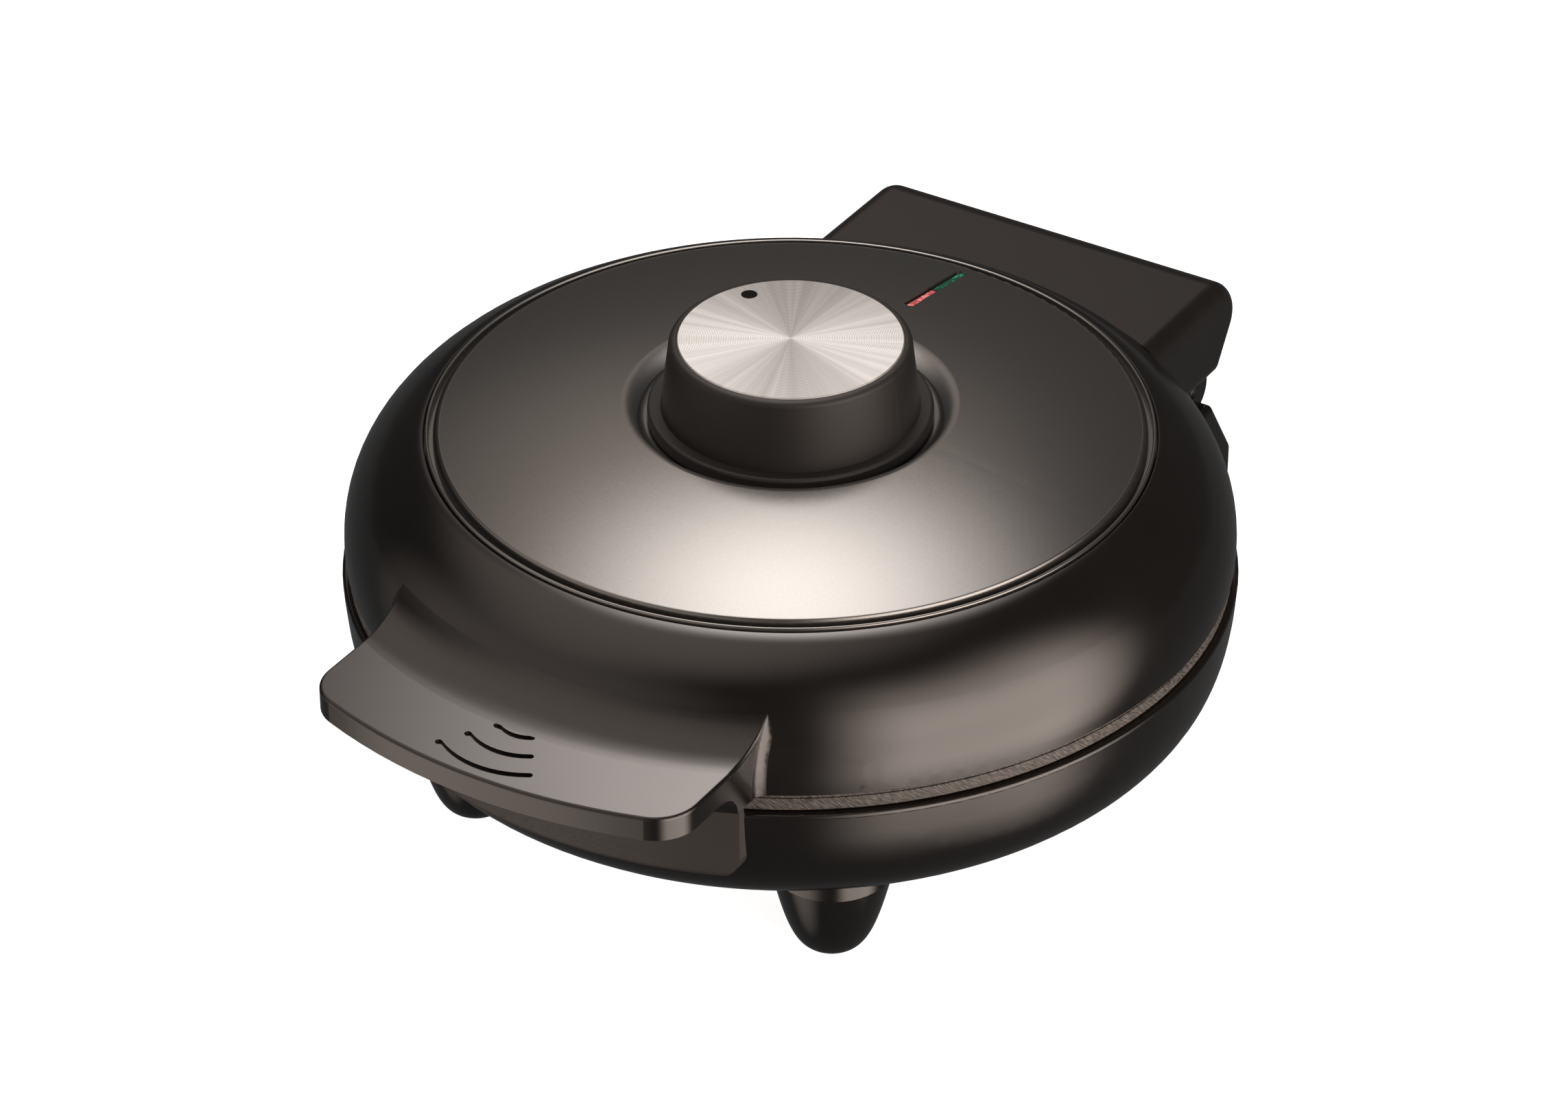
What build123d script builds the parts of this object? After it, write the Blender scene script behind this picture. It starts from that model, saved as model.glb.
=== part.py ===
from build123d import *
from math import cos, radians, sin, sqrt, tan
import os

os.makedirs("parts", exist_ok=True)

# Round electric doughnut maker, closed. Millimetres, +Z up. The origin is on the floor, on the round
# body's axis. The handle points to -Y, the hinge is at +Y.

# Driving dimensions

# Baking moulds and plates
mould_ring_radius = 18.5  # centre line of a doughnut's ring
mould_tube_radius = 11.0  # round section of the ring
mould_depth = 10.0  # how much of the section one plate holds
mould_count = 6  # moulds round the middle one
mould_web = 5.0  # flat land between two moulds
plate_margin = 3.0  # flat land outside the outer moulds
plate_wall = 2.4
plate_flange_width = 2.4
plate_flange_thickness = 2.0
plate_fit = 0.4  # slack between a plate and its bezel
boss_radius = 3.2  # screw bosses on the plates' backs
boss_pilot_depth = 9.0

# Heaters and reflectors
heater_radius = 3.25  # round section of the tubular heater
heater_gap = 0.1  # between the moulds' backs and the heater
heater_opening = 44.0  # degrees left open for the two legs
heater_leg = 12.0
leg_hole_slack = 0.8
reflector_thickness = 0.8
reflector_inset = 4.5  # reflector's edge, inside the plate's edge
reflector_rim = 6.0

# Round body
foot_height = 22.7  # floor to the base's flat bottom
base_depth = 34.7  # flat bottom to the parting plane
lid_gap = 0.3  # between the closed halves
band_height = 4.7  # lid bezel's band under the lid shell
lid_height = 31.3  # lid shell's lower edge to its lip
rim_width = 11.9  # plate's edge to the outside of the body
shell_wall = 2.6
seam_gap = 0.2  # between outside mouldings
rim_round = 0.9
rim_bead = 0.6  # base rim stands out past the body
base_flank = 14.3  # heights and insets that draw the base's belly
base_heel = 5.6
base_heel_inset = 2.9
base_floor_inset = 21.9
base_floor_rise = 0.9
base_flat_inset = 27.0

# Lid shell
shoulder_width = 20.4  # body's outside to the lip
lip_width = 0.7
lip_edge = 0.4
lip_step = 1.1  # lip above the panel's flange
shoulder_drop = 7.9  # height and bulge that draw the lid's shoulder
shoulder_bulge = 1.8
ledge_width = 6.0
ledge_thickness = 2.2
inner_shoulder_drop = 15.5

# Bezels
bezel_lip = 2.2  # holds the plate's flange
bezel_skirt_wall = 1.8
bezel_skirt_depth = 4.0
bezel_fit = 0.3  # slack between bezel and shell
band_setback = 1.0  # band inside the body's outside
band_groove_depth = 0.5
band_groove_width = 0.4
band_groove_height = 3.4
bezel_edge = 0.4

# Lid handle and base handle
handle_reach = 29.6  # past the body's outside
handle_width = 101.0
handle_drop = 18.5  # lip down to the handle's flat top
handle_lip = 6.0
handle_corner = 11.0
handle_sweep = 20.0  # hollow curve from the handle up to the shell
handle_sweep_angle = 53.0
handle_root_inset = 6.05
handle_wall = 2.8
handle_edge = 0.8
handle_root_round = 3.5  # hollow between the handle's end walls and the shell
grip_wall_reach = 7.1  # lower wall of the handle past the body's outside
groove_width = 1.7
groove_depth = 0.8
groove_first = 8.9
groove_pitch = 7.2
groove_count = 3
groove_half_angle = 32.0
groove_centre_reach = 2.8
base_handle_width = 96.7
base_handle_reach = 2.6  # past the body's outside
base_handle_height = 21.7
base_handle_corner = 6.0
base_handle_round = 2.0
handle_gap = 0.5  # base handle's top to the lid handle
peg_radius = 3.0
peg_spacing = 60.0
peg_drop = 11.5  # base handle's top to the pegs
peg_slack = 0.15
peg_length = 1.9  # into the shell's wall

# Lid panel
panel_wall = 1.8
panel_fit = 0.3
panel_flange_width = 1.9
panel_flange_thickness = 1.6
panel_bead_radius = 0.4  # round bead on the flange's outer edge
panel_bead_rise = 0.7  # bead above the lip
panel_edge_height = 2.3
panel_edge_round = 1.5
dome_radius = 445.0
well_slack = 0.8  # well round the knob's skirt
well_slope = 4.8
well_depth = 4.6
shaft_hole_radius = 4.0
ear_radius = 5.0  # panel screw ears inside the lip
ear_inset = 3.0
panel_boss_radius = 3.0
panel_screw_count = 4

# Knob and thermostat
knob_clearance = 0.6  # knob above the well's floor
knob_skirt_radius = 34.4
knob_skirt_height = 3.0
knob_skirt_round = 0.8
knob_foot_radius = 31.2
knob_top_radius = 29.2
knob_height = 20.8
knob_round = 1.6
knob_wall = 2.6
cap_radius = 27.2
cap_thickness = 1.0
cap_proud = 0.3
cap_fit = 0.15
cap_edge = 0.3
pointer_radius = 1.9
pointer_reach = 22.6
pointer_angle = 148.0
pointer_slack = 0.1
shaft_radius = 3.0
shaft_flat = 2.2  # flat side of the shaft, from its axis
shaft_slack = 0.05
hub_radius = 6.5
hub_lift = 1.5
shaft_stop = 1.0  # slack above the shaft's end
thermostat_length = 30.0
thermostat_width = 24.0
thermostat_height = 9.5
bushing_radius = 5.5
bushing_gap = 0.8
tab_width = 6.3
tab_thickness = 0.8
tab_length = 8.0
bracket_width = 16.0
bracket_thickness = 1.2
bracket_end = 5.0

# Indicator lamps
slot_length = 27.5
slot_width = 2.7
slot_reach = 68.2  # axis to the slot's middle
slot_round = 0.6
lens_sink = 0.8
lens_fit = 0.1
lens_gap = 0.2  # between the panel's back and the lens flanges
lens_flange = 1.4
lens_flange_thickness = 1.2
holder_wall = 1.6
holder_depth = 8.0
holder_inset = 1.0  # holder's outer end inside the slot's end
lamp_radius = 1.9
lamp_length = 7.6

# Hinge
hinge_reach = 13.6  # pin's axis behind the body's outside
hinge_drop = 3.5  # pin's axis below the parting plane
pin_radius = 2.0
pin_press = 0.02
pin_slack = 0.05
pin_sink = 1.0  # rod's ends inside the knuckles
knuckle_radius = 6.75
knuckle_end = 46.0  # outer end of the base knuckles
barrel_end = 30.0  # end of the lid's barrel
hinge_side_gap = 0.3
hinge_clearance = 0.6
barrel_clearance = 0.9
block_width = 102.6
block_drop = 9.5  # lip down to the block's flat top
block_lift = 1.3  # block's lower edge above the parting plane
block_foot_reach = 4.3  # lower back edge behind the pin's axis
block_lean = 31.7  # degrees, back face leans out upwards
block_back_round = 9.4
block_foot_round = 2.4
block_side_round = 5.0
rear_inset = 1.8  # base's rear housing inside the block's sides
tongue_width = 76.0
tongue_thickness = 3.5
tongue_reach = 8.0  # tongue past the shell's inside
tongue_slack = 0.4
tongue_screw_spacing = 60.0

# Rear housing of the base
rear_reach = 29.6  # past the body's outside
rear_ledge_drop = 9.0  # parting plane down to the ledge
rear_ledge_reach = 18.2
rear_slope_height = 17.6
rear_bottom = 16.4  # above the floor
rear_front = 92.0
rear_round = 2.0

# Cord inlet and terminals
gland_radius = 4.2
gland_flange_radius = 5.2
gland_flange_thickness = 1.4
gland_length = 10.0
gland_slack = 0.05
cord_radius = 3.2
gland_height = 7.6  # above the housing's bottom
terminal_length = 26.0
terminal_width = 14.0
terminal_height = 12.0
terminal_setback = 22.0  # behind it, the gland's inner end
fuse_radius = 2.2
fuse_length = 11.0
fuse_lead_radius = 0.5
fuse_lead = 7.0
fuse_place = 45.0
clip_strap = 0.8
clip_strap_width = 6.0
clip_strap_foot = 5.0

# Feet
foot_top_radius = 14.6
foot_belly_radius = 11.2
foot_belly_height = 7.4
foot_toe_radius = 8.9
foot_flat_radius = 4.3
pad_radius = 4.0
pad_thickness = 0.8
pad_stem_radius = 3.4
pad_stem = 3.2
pad_slack = 0.2
foot_screw_seat = 9.0
front_foot_spacing = 102.0
front_foot_place = 63.6  # from the axis towards the handle
rear_foot_spacing = 68.0
rear_foot_place = 112.0

# Screws, clips and wires
screw_radius = 1.5
screw_slack = 0.2
thread_slack = 0.03
screw_head_radius = 2.9
screw_head_height = 1.8
small_screw_radius = 1.1
small_head_radius = 1.9
small_head_height = 1.3
small_thread = 3.0
screw_grip = 8.0  # long screws' hold in their bosses
base_screw_sink = 7.0
lid_screw_sink = 1.6
lid_screw_thread = 9.0
foot_thread = 8.0
terminal_sink = 2.0
post_radius = 4.6
clip_length = 12.0
clip_thickness = 1.2
clip_edge = 0.2
clip_count = 3
lid_screw_count = 4
lid_post_radius = 3.0
wire_radius = 1.1
wire_rise = 22.5

# Derived sizes

mould_outer = mould_ring_radius + mould_tube_radius
mould_pitch = 2 * mould_outer + mould_web
mould_draft = mould_tube_radius - mould_depth
plate_radius = mould_pitch + mould_outer + plate_margin
flange_radius = plate_radius + plate_flange_width
boss_circle = mould_pitch / sqrt(3)
heater_depth = mould_depth + plate_wall + heater_gap + heater_radius
reflector_depth = heater_depth + heater_radius
reflector_radius = plate_radius - reflector_inset
shell_radius = plate_radius + rim_width
inner_radius = shell_radius - bezel_edge - shell_wall

base_bottom = foot_height
parting = base_bottom + base_depth
lid_face = parting + lid_gap
lid_bottom = lid_face + band_height
lip_height = lid_bottom + lid_height
lip_radius = shell_radius - shoulder_width
lip_outer = lip_radius + lip_width
panel_opening = lip_radius
panel_seat = lip_height - lip_step - panel_flange_thickness
ledge_bottom = panel_seat - ledge_thickness
ledge_radius = panel_opening - ledge_width
base_rim = shell_radius + rim_bead

bezel_opening = plate_radius + plate_fit
bezel_recess = flange_radius + plate_fit
bezel_back = bezel_lip + plate_flange_thickness
skirt_radius = inner_radius - bezel_fit
skirt_inner = skirt_radius - bezel_skirt_wall
land_middle = (bezel_recess + skirt_inner) / 2
band_radius = shell_radius - band_setback

handle_front = shell_radius + handle_reach
handle_top = lip_height - handle_drop
handle_under = handle_top - handle_lip
hinge_place = shell_radius + hinge_reach
hinge_height = parting - hinge_drop
rear_ledge = parting - rear_ledge_drop
rear_back = shell_radius + rear_reach
barrel_radius = hinge_height - rear_ledge - barrel_clearance
block_top = lip_height - block_drop
block_bottom = parting + block_lift
plate_level = lid_face + bezel_back

panel_radius = panel_opening - panel_fit
panel_edge = panel_radius - panel_flange_width
panel_edge_top = panel_seat + panel_flange_thickness + panel_edge_height
dome_edge = panel_edge - panel_edge_round
dome_apex = panel_edge_top + dome_edge**2 / (2 * dome_radius)
well_radius = knob_skirt_radius + well_slack
well_edge = well_radius + well_slope


def polar(radius, angle):
    """Point on a circle round the body's axis, degrees from +X."""
    return (radius * cos(radians(angle)), radius * sin(radians(angle)))


def dome(radius):
    """Height of the panel's domed top."""
    return dome_apex - radius**2 / (2 * dome_radius)


well_floor = dome(well_edge) - well_depth
knob_bottom = well_floor + knob_clearance
knob_top = knob_bottom + knob_height
bracket_level = lid_face + reflector_depth + reflector_thickness
thermostat_level = bracket_level + bracket_thickness
bushing_top = well_floor - panel_wall - bushing_gap
boss_points = [polar(boss_circle, 30 + 60 * step) for step in range(6)]
foot_points = {
    "front_left": (-front_foot_spacing / 2, -front_foot_place),
    "front_right": (front_foot_spacing / 2, -front_foot_place),
    "rear_left": (-rear_foot_spacing / 2, rear_foot_place),
    "rear_right": (rear_foot_spacing / 2, rear_foot_place),
}
foot_seats = {name: rear_bottom if name.startswith("rear") else base_bottom for name in foot_points}


def save(piece, name):
    """Name a finished piece and write it."""
    piece.part.label = name
    export_step(piece.part, f"parts/{name}.step")


def turned(*outline):
    """Solid turned about the body's axis from (radius, height) corners."""
    with BuildPart() as solid:
        with BuildSketch(Plane.XZ):
            with BuildLine():
                Polyline(*outline, close=True)
            make_face()
        revolve(axis=Axis.Z)
    return solid.part


def screw(head_radius, head_height, shank_radius, length):
    """Pan-head screw with its head below z = 0 and its shank up along +Z."""
    with BuildPart() as fastener:
        with BuildSketch(Plane.XY.offset(-head_height)):
            Circle(head_radius)
        extrude(amount=head_height)
        fillet(fastener.faces().sort_by(Axis.Z)[0].edges(), head_height / 3)
        with BuildSketch():
            Circle(shank_radius)
        extrude(amount=length)
        with BuildSketch(Plane.XY.offset(-head_height)):
            Rectangle(head_radius, head_radius / 4)
            Rectangle(head_radius / 4, head_radius)
        extrude(amount=head_height / 2, mode=Mode.SUBTRACT)
    return fastener.part


def base_form(grow=0.0):
    """Outside of the round base, with its rounded rim and flat bottom."""
    with BuildPart() as form:
        with BuildSketch(Plane.XZ):
            with BuildLine():
                rim = CenterArc((base_rim + grow - rim_round, parting - rim_round), rim_round, 0, 90)
                flank = Bezier(
                    rim @ 0,
                    (shell_radius - bezel_edge + grow, base_bottom + base_flank),
                    (shell_radius - base_heel_inset + grow, base_bottom + base_heel - grow),
                    (shell_radius - base_floor_inset, base_bottom + base_floor_rise - grow),
                )
                flat = (shell_radius - base_flat_inset, base_bottom - grow)
                Polyline(flank @ 1, flat, (0, base_bottom - grow), (0, parting), rim @ 1)
            make_face()
        revolve(axis=Axis.Z)
    return form.part


def base_cavity():
    """Inside of the round base."""
    wall = shell_wall
    with BuildPart() as cavity:
        with BuildSketch(Plane.XZ):
            with BuildLine():
                flank = Bezier(
                    (inner_radius, parting - rim_round),
                    (inner_radius, base_bottom + base_flank + wall / 2),
                    (shell_radius - base_heel_inset - 0.8 * wall, base_bottom + base_heel + 0.8 * wall),
                    (shell_radius - base_floor_inset - 0.4 * wall, base_bottom + base_floor_rise + wall),
                )
                flat = (shell_radius - base_flat_inset, base_bottom + wall)
                over = parting + rim_width
                Polyline(flank @ 1, flat, (0, base_bottom + wall), (0, over), (inner_radius, over), flank @ 0)
            make_face()
        revolve(axis=Axis.Z)
    return cavity.part


def lid_form(grow=0.0):
    """Outside of the lid's round shoulder, closed over the top."""
    with BuildPart() as form:
        with BuildSketch(Plane.XZ):
            with BuildLine():
                flank = Bezier(
                    (lip_outer + grow, lip_height + grow),
                    (lip_outer + lip_width / 3 + grow, lip_height + grow),
                    (shell_radius + shoulder_bulge + grow, lip_height - shoulder_drop + grow),
                    (shell_radius - bezel_edge + grow, lid_bottom - grow),
                )
                Polyline(flank @ 1, (0, lid_bottom - grow), (0, lip_height + grow), flank @ 0)
            make_face()
        revolve(axis=Axis.Z)
    return form.part


def lid_cavity():
    """Inside of the lid's shoulder, with the panel's seat and opening."""
    start = (lip_outer + shell_wall, ledge_bottom)
    with BuildPart() as cavity:
        with BuildSketch(Plane.XZ):
            with BuildLine():
                flank = Bezier(
                    start,
                    (start[0] + 1.6 * shell_wall, ledge_bottom - 0.8 * shell_wall),
                    (inner_radius + bezel_edge * 2, lip_height - inner_shoulder_drop),
                    (inner_radius, lid_bottom),
                )
                lip_round = CenterArc((panel_opening + lip_edge, lip_height - lip_edge), lip_edge, 90, 90)
                Polyline(
                    flank @ 1,
                    (inner_radius, lid_face),
                    (0, lid_face),
                    (0, lip_height + lip_step),
                    (panel_opening + lip_edge, lip_height + lip_step),
                    lip_round @ 0,
                )
                Polyline(
                    lip_round @ 1,
                    (panel_opening, panel_seat),
                    (ledge_radius, panel_seat),
                    (ledge_radius, ledge_bottom),
                    flank @ 0,
                )
            make_face()
        revolve(axis=Axis.Z)
    return cavity.part


# Base handle: matte grip on the front of the base, held by two pegs through the shell's wall

handle_half = handle_width / 2
base_handle_top = lid_bottom - handle_gap
base_handle_bottom = base_handle_top - base_handle_height
base_handle_front = shell_radius + base_handle_reach
peg_height = base_handle_top - peg_drop
peg_start = sqrt(shell_radius**2 - (peg_spacing / 2) ** 2)

with BuildPart() as base_handle:
    with BuildSketch(Plane.XZ):
        with BuildLine():
            toe = CenterArc(
                (base_handle_front - base_handle_round, base_handle_bottom + base_handle_round),
                base_handle_round,
                -90,
                90,
            )
            brow = CenterArc(
                (base_handle_front - handle_edge, base_handle_top - handle_edge), handle_edge, 0, 90
            )
            Line(toe @ 1, brow @ 0)
            Polyline(
                brow @ 1,
                (base_rim + seam_gap, base_handle_top),
                (base_rim + seam_gap, parting),
                (shell_radius - handle_reach, parting),
                (shell_radius - handle_reach, base_handle_bottom),
                toe @ 0,
            )
        make_face()
    revolve(axis=Axis.Z)
    with BuildSketch(Plane.XZ) as grip_outline:
        with Locations((0, base_handle_top - base_handle_height / 2)):
            Rectangle(base_handle_width, base_handle_height)
        fillet(grip_outline.vertices().group_by(Axis.Y)[0], base_handle_corner)
    extrude(amount=base_handle_front + handle_reach, mode=Mode.INTERSECT)
    add(base_form(seam_gap), mode=Mode.SUBTRACT)
    with BuildSketch(Plane.XZ.offset(peg_start - peg_length)):
        with Locations((-peg_spacing / 2, peg_height), (peg_spacing / 2, peg_height)):
            Circle(peg_radius)
    extrude(amount=peg_length + (base_handle_front - shell_radius) / 2)
save(base_handle, "base_handle")

# Base shell: gloss moulded bowl with the rear housing, hinge knuckles, screw posts and foot seats

rear_half = block_width / 2 - rear_inset
ledge_edge = shell_radius + rear_ledge_reach
gland_level = rear_bottom + gland_height
reflector_level = parting - reflector_depth - reflector_thickness
skirt_seat = parting - bezel_back - bezel_skirt_depth
base_screw_seat = base_bottom + base_screw_sink
knuckle_start = barrel_end + hinge_side_gap
post_points = boss_points[1::2]
terminal_place = rear_back - terminal_setback
rear_corners = [
    (rear_front, rear_bottom),
    (rear_back, rear_bottom),
    (rear_back, rear_ledge - rear_slope_height),
    (ledge_edge, rear_ledge),
    (rear_front, rear_ledge),
]

with BuildPart() as rear_housing:
    with BuildSketch(Plane.YZ):
        with BuildLine():
            Polyline(*rear_corners, close=True)
        make_face()
    extrude(amount=rear_half, both=True)
    back_edges = rear_housing.edges().filter_by_position(Axis.Y, shell_radius, rear_back + rear_round)
    fillet(back_edges, rear_round)

with BuildPart() as rear_cavity:
    with BuildSketch(Plane.YZ):
        with BuildLine():
            Polyline(*rear_corners, close=True)
        make_face()
        offset(amount=-shell_wall, kind=Kind.INTERSECTION)
    extrude(amount=rear_half - shell_wall, both=True)

with BuildPart() as base_shell:
    add(base_form())
    add(rear_housing.part)
    with BuildSketch(Plane.XY.offset(base_bottom)):
        with Locations(foot_points["front_left"], foot_points["front_right"]):
            Circle(foot_top_radius)
    extrude(amount=base_heel)
    add(base_cavity(), mode=Mode.SUBTRACT)
    add(rear_cavity.part, mode=Mode.SUBTRACT)
    seat_outer = inner_radius + shell_wall / 4
    seat_under = skirt_seat - shell_wall
    seat_inner = skirt_inner - bezel_fit
    add(
        turned(
            (seat_inner, skirt_seat),
            (seat_outer, skirt_seat),
            (seat_outer, seat_under - bezel_skirt_wall),
            (seat_inner, seat_under),
        )
    )
    for side in (-1, 1):
        with BuildSketch(Plane.YZ.offset(side * knuckle_start)):
            with Locations((hinge_place, hinge_height)):
                Circle(knuckle_radius)
            web_foot = rear_ledge - shell_wall / 2
            with BuildLine():
                Polyline(
                    (hinge_place - knuckle_radius, web_foot),
                    (ledge_edge - rear_round / 2, web_foot),
                    (ledge_edge - rear_round / 2, hinge_height),
                    (hinge_place - knuckle_radius, hinge_height),
                    close=True,
                )
            make_face()
            with Locations((hinge_place, hinge_height)):
                Circle(pin_radius + pin_press, mode=Mode.SUBTRACT)
        extrude(amount=side * (knuckle_end - knuckle_start))
    with BuildSketch(Plane.XY.offset(base_bottom)):
        with Locations(*post_points):
            Circle(post_radius)
    extrude(amount=reflector_level - base_bottom)
    with BuildSketch(Plane.XY.offset(base_bottom)):
        with Locations(*post_points):
            Circle(screw_head_radius + screw_slack)
    extrude(amount=base_screw_sink, mode=Mode.SUBTRACT)
    with BuildSketch(Plane.XY.offset(base_bottom)):
        with Locations(*post_points):
            Circle(screw_radius + screw_slack)
    extrude(amount=reflector_level - base_bottom, mode=Mode.SUBTRACT)
    for name, place in foot_points.items():
        with BuildSketch(Plane.XY.offset(foot_seats[name] + shell_wall / 2)):
            with Locations(place):
                Circle(post_radius)
        extrude(amount=foot_thread + shell_wall / 2)
        with BuildSketch(Plane.XY.offset(foot_seats[name])):
            with Locations(place):
                Circle(screw_radius + thread_slack)
        extrude(amount=foot_thread, mode=Mode.SUBTRACT)
    with BuildSketch(Plane.XZ.offset(-rear_back)):
        with Locations((0, gland_level)):
            Circle(gland_flange_radius + gland_slack)
    extrude(amount=gland_flange_thickness, mode=Mode.SUBTRACT)
    with BuildSketch(Plane.XZ.offset(-rear_back)):
        with Locations((0, gland_level)):
            Circle(gland_radius + gland_slack)
    extrude(amount=2 * shell_wall, mode=Mode.SUBTRACT)
    with BuildSketch(Plane.XZ.offset(peg_start - shell_wall)):
        with Locations((-peg_spacing / 2, peg_height), (peg_spacing / 2, peg_height)):
            Circle(peg_radius + peg_slack)
    extrude(amount=2 * shell_wall, mode=Mode.SUBTRACT)
    with BuildSketch(Plane.XY.offset(rear_bottom + shell_wall)):
        with Locations((0, terminal_place)):
            Circle(small_screw_radius + thread_slack)
    extrude(amount=-0.8 * shell_wall, mode=Mode.SUBTRACT)
save(base_shell, "base_shell")

# Bezels: heat-proof rings that hold the plates by their flanges


def clip_places(radius):
    """Points of the plate clips at a radius."""
    return [polar(radius, 360 / clip_count * step) for step in range(clip_count)]


def lid_screw_places(radius):
    """Points of the lid screws at a radius."""
    return [polar(radius, 45 + 360 / lid_screw_count * step) for step in range(lid_screw_count)]


tongue_points = [
    (side * tongue_screw_spacing / 2, sqrt(land_middle**2 - (tongue_screw_spacing / 2) ** 2)) for side in (-1, 1)
]

with BuildPart() as base_bezel:
    add(
        turned(
            (bezel_opening, parting),
            (skirt_radius - bezel_edge, parting),
            (skirt_radius, parting - bezel_edge),
            (skirt_radius, skirt_seat),
            (skirt_inner, skirt_seat),
            (skirt_inner, parting - bezel_back),
            (bezel_recess, parting - bezel_back),
            (bezel_recess, parting - bezel_lip),
            (bezel_opening, parting - bezel_lip),
        )
    )
    with BuildSketch(Plane.XY.offset(parting - bezel_back)):
        with Locations(*clip_places(land_middle)):
            Circle(small_screw_radius + thread_slack)
    extrude(amount=small_thread, mode=Mode.SUBTRACT)
save(base_bezel, "base_bezel")

groove_top = lid_face + band_groove_height + band_groove_width
spigot_top = lid_bottom + bezel_skirt_depth

with BuildPart() as lid_bezel:
    add(
        turned(
            (bezel_opening, lid_face),
            (band_radius - bezel_edge, lid_face),
            (band_radius, lid_face + bezel_edge),
            (band_radius, lid_face + band_groove_height),
            (band_radius - band_groove_depth, lid_face + band_groove_height),
            (band_radius - band_groove_depth, groove_top),
            (band_radius, groove_top),
            (band_radius, lid_bottom),
            (skirt_radius, lid_bottom),
            (skirt_radius, spigot_top),
            (skirt_inner, spigot_top),
            (skirt_inner, plate_level),
            (bezel_recess, plate_level),
            (bezel_recess, lid_face + bezel_lip),
            (bezel_opening, lid_face + bezel_lip),
        )
    )
    with BuildSketch(Plane.XY.offset(plate_level)):
        with Locations((0, shell_radius)):
            Rectangle(tongue_width + 2 * tongue_slack, shell_radius / 3)
        with PolarLocations(skirt_radius, lid_screw_count, 45):
            Rectangle(4 * lid_post_radius, 2 * lid_post_radius + 2 * tongue_slack)
    extrude(amount=lid_height, mode=Mode.SUBTRACT)
    with BuildSketch(Plane.XY.offset(lid_face)):
        with Locations(*lid_screw_places(land_middle)):
            Circle(small_screw_radius + screw_slack)
    extrude(amount=bezel_back, mode=Mode.SUBTRACT)
    with BuildSketch(Plane.XY.offset(lid_face)):
        with Locations(*lid_screw_places(land_middle)):
            Circle(small_head_radius + screw_slack)
    extrude(amount=lid_screw_sink, mode=Mode.SUBTRACT)
    with BuildSketch(Plane.XY.offset(plate_level)):
        with Locations(*clip_places(land_middle), *tongue_points):
            Circle(small_screw_radius + thread_slack)
    extrude(amount=-small_thread, mode=Mode.SUBTRACT)
save(lid_bezel, "lid_bezel")

# Baking plates, heaters, reflectors and clips. The lower set and the upper set are the same pieces, built
# from the face into their housing: down for the base, up for the lid.

mould_points = [(0, 0)] + [polar(mould_pitch, 360 / mould_count * step) for step in range(mould_count)]
heater_start = 90 + heater_opening / 2
leg_points = [polar(mould_pitch, heater_start), polar(mould_pitch, 180 - heater_start)]


def baking_plate(face, into):
    """Plate with ring moulds sunk from its face, a flange and screw bosses behind."""
    centre = face - into * mould_draft
    housing_side = Keep.TOP if into > 0 else Keep.BOTTOM
    with BuildPart() as cup:
        with Locations((0, 0, centre)):
            Torus(mould_ring_radius, mould_tube_radius + plate_wall)
        split(bisect_by=Plane.XY.offset(face), keep=housing_side)
    with BuildPart() as plate:
        with BuildSketch(Plane.XY.offset(face)):
            Circle(plate_radius)
        extrude(amount=into * plate_wall)
        with BuildSketch(Plane.XY.offset(face + into * bezel_lip)):
            Circle(flange_radius)
            Circle(plate_radius - plate_flange_width, mode=Mode.SUBTRACT)
        extrude(amount=into * plate_flange_thickness)
        with Locations(*mould_points):
            add(cup.part)
        with BuildSketch(Plane.XY.offset(face + into * plate_wall / 2)):
            with Locations(*boss_points):
                Circle(boss_radius)
        extrude(amount=into * (reflector_depth - plate_wall / 2))
        with BuildSketch(Plane.XY.offset(face + into * reflector_depth)):
            with Locations(*boss_points):
                Circle(screw_radius + thread_slack)
        extrude(amount=-into * boss_pilot_depth, mode=Mode.SUBTRACT)
        with Locations(*[(x, y, centre) for x, y in mould_points]):
            Torus(mould_ring_radius, mould_tube_radius, mode=Mode.SUBTRACT)
    return plate


def heater(face, into):
    """Tubular heater: an open ring under the moulds with a leg at each end."""
    level = face + into * heater_depth
    turn = radians(heater_start)
    start_plane = Plane((0, 0, 0), x_dir=(cos(turn), sin(turn), 0), z_dir=(sin(turn), -cos(turn), 0))
    with BuildPart() as tube:
        with BuildSketch(start_plane):
            with Locations((mould_pitch, level)):
                Circle(heater_radius)
        revolve(axis=Axis.Z, revolution_arc=360 - heater_opening)
        with Locations(*[(x, y, level) for x, y in leg_points]):
            Sphere(heater_radius)
        with BuildSketch(Plane.XY.offset(level)):
            with Locations(*leg_points):
                Circle(heater_radius)
        extrude(amount=into * heater_leg)
    return tube


def reflector(face, into):
    """Thin pan behind the heater with holes for the screws and the heater's legs."""
    front = face + into * reflector_depth
    back = front + into * reflector_thickness
    brim = front - into * reflector_rim
    with BuildPart() as pan:
        add(
            turned(
                (0, front),
                (reflector_radius - reflector_thickness, front),
                (reflector_radius - reflector_thickness, brim),
                (reflector_radius, brim),
                (reflector_radius, back),
                (0, back),
            )
        )
        with BuildSketch(Plane.XY.offset(front)):
            with Locations(*boss_points):
                Circle(screw_radius + screw_slack)
            with Locations(*leg_points):
                Circle(heater_radius + leg_hole_slack)
        extrude(amount=into * reflector_thickness, mode=Mode.SUBTRACT)
    return pan


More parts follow.
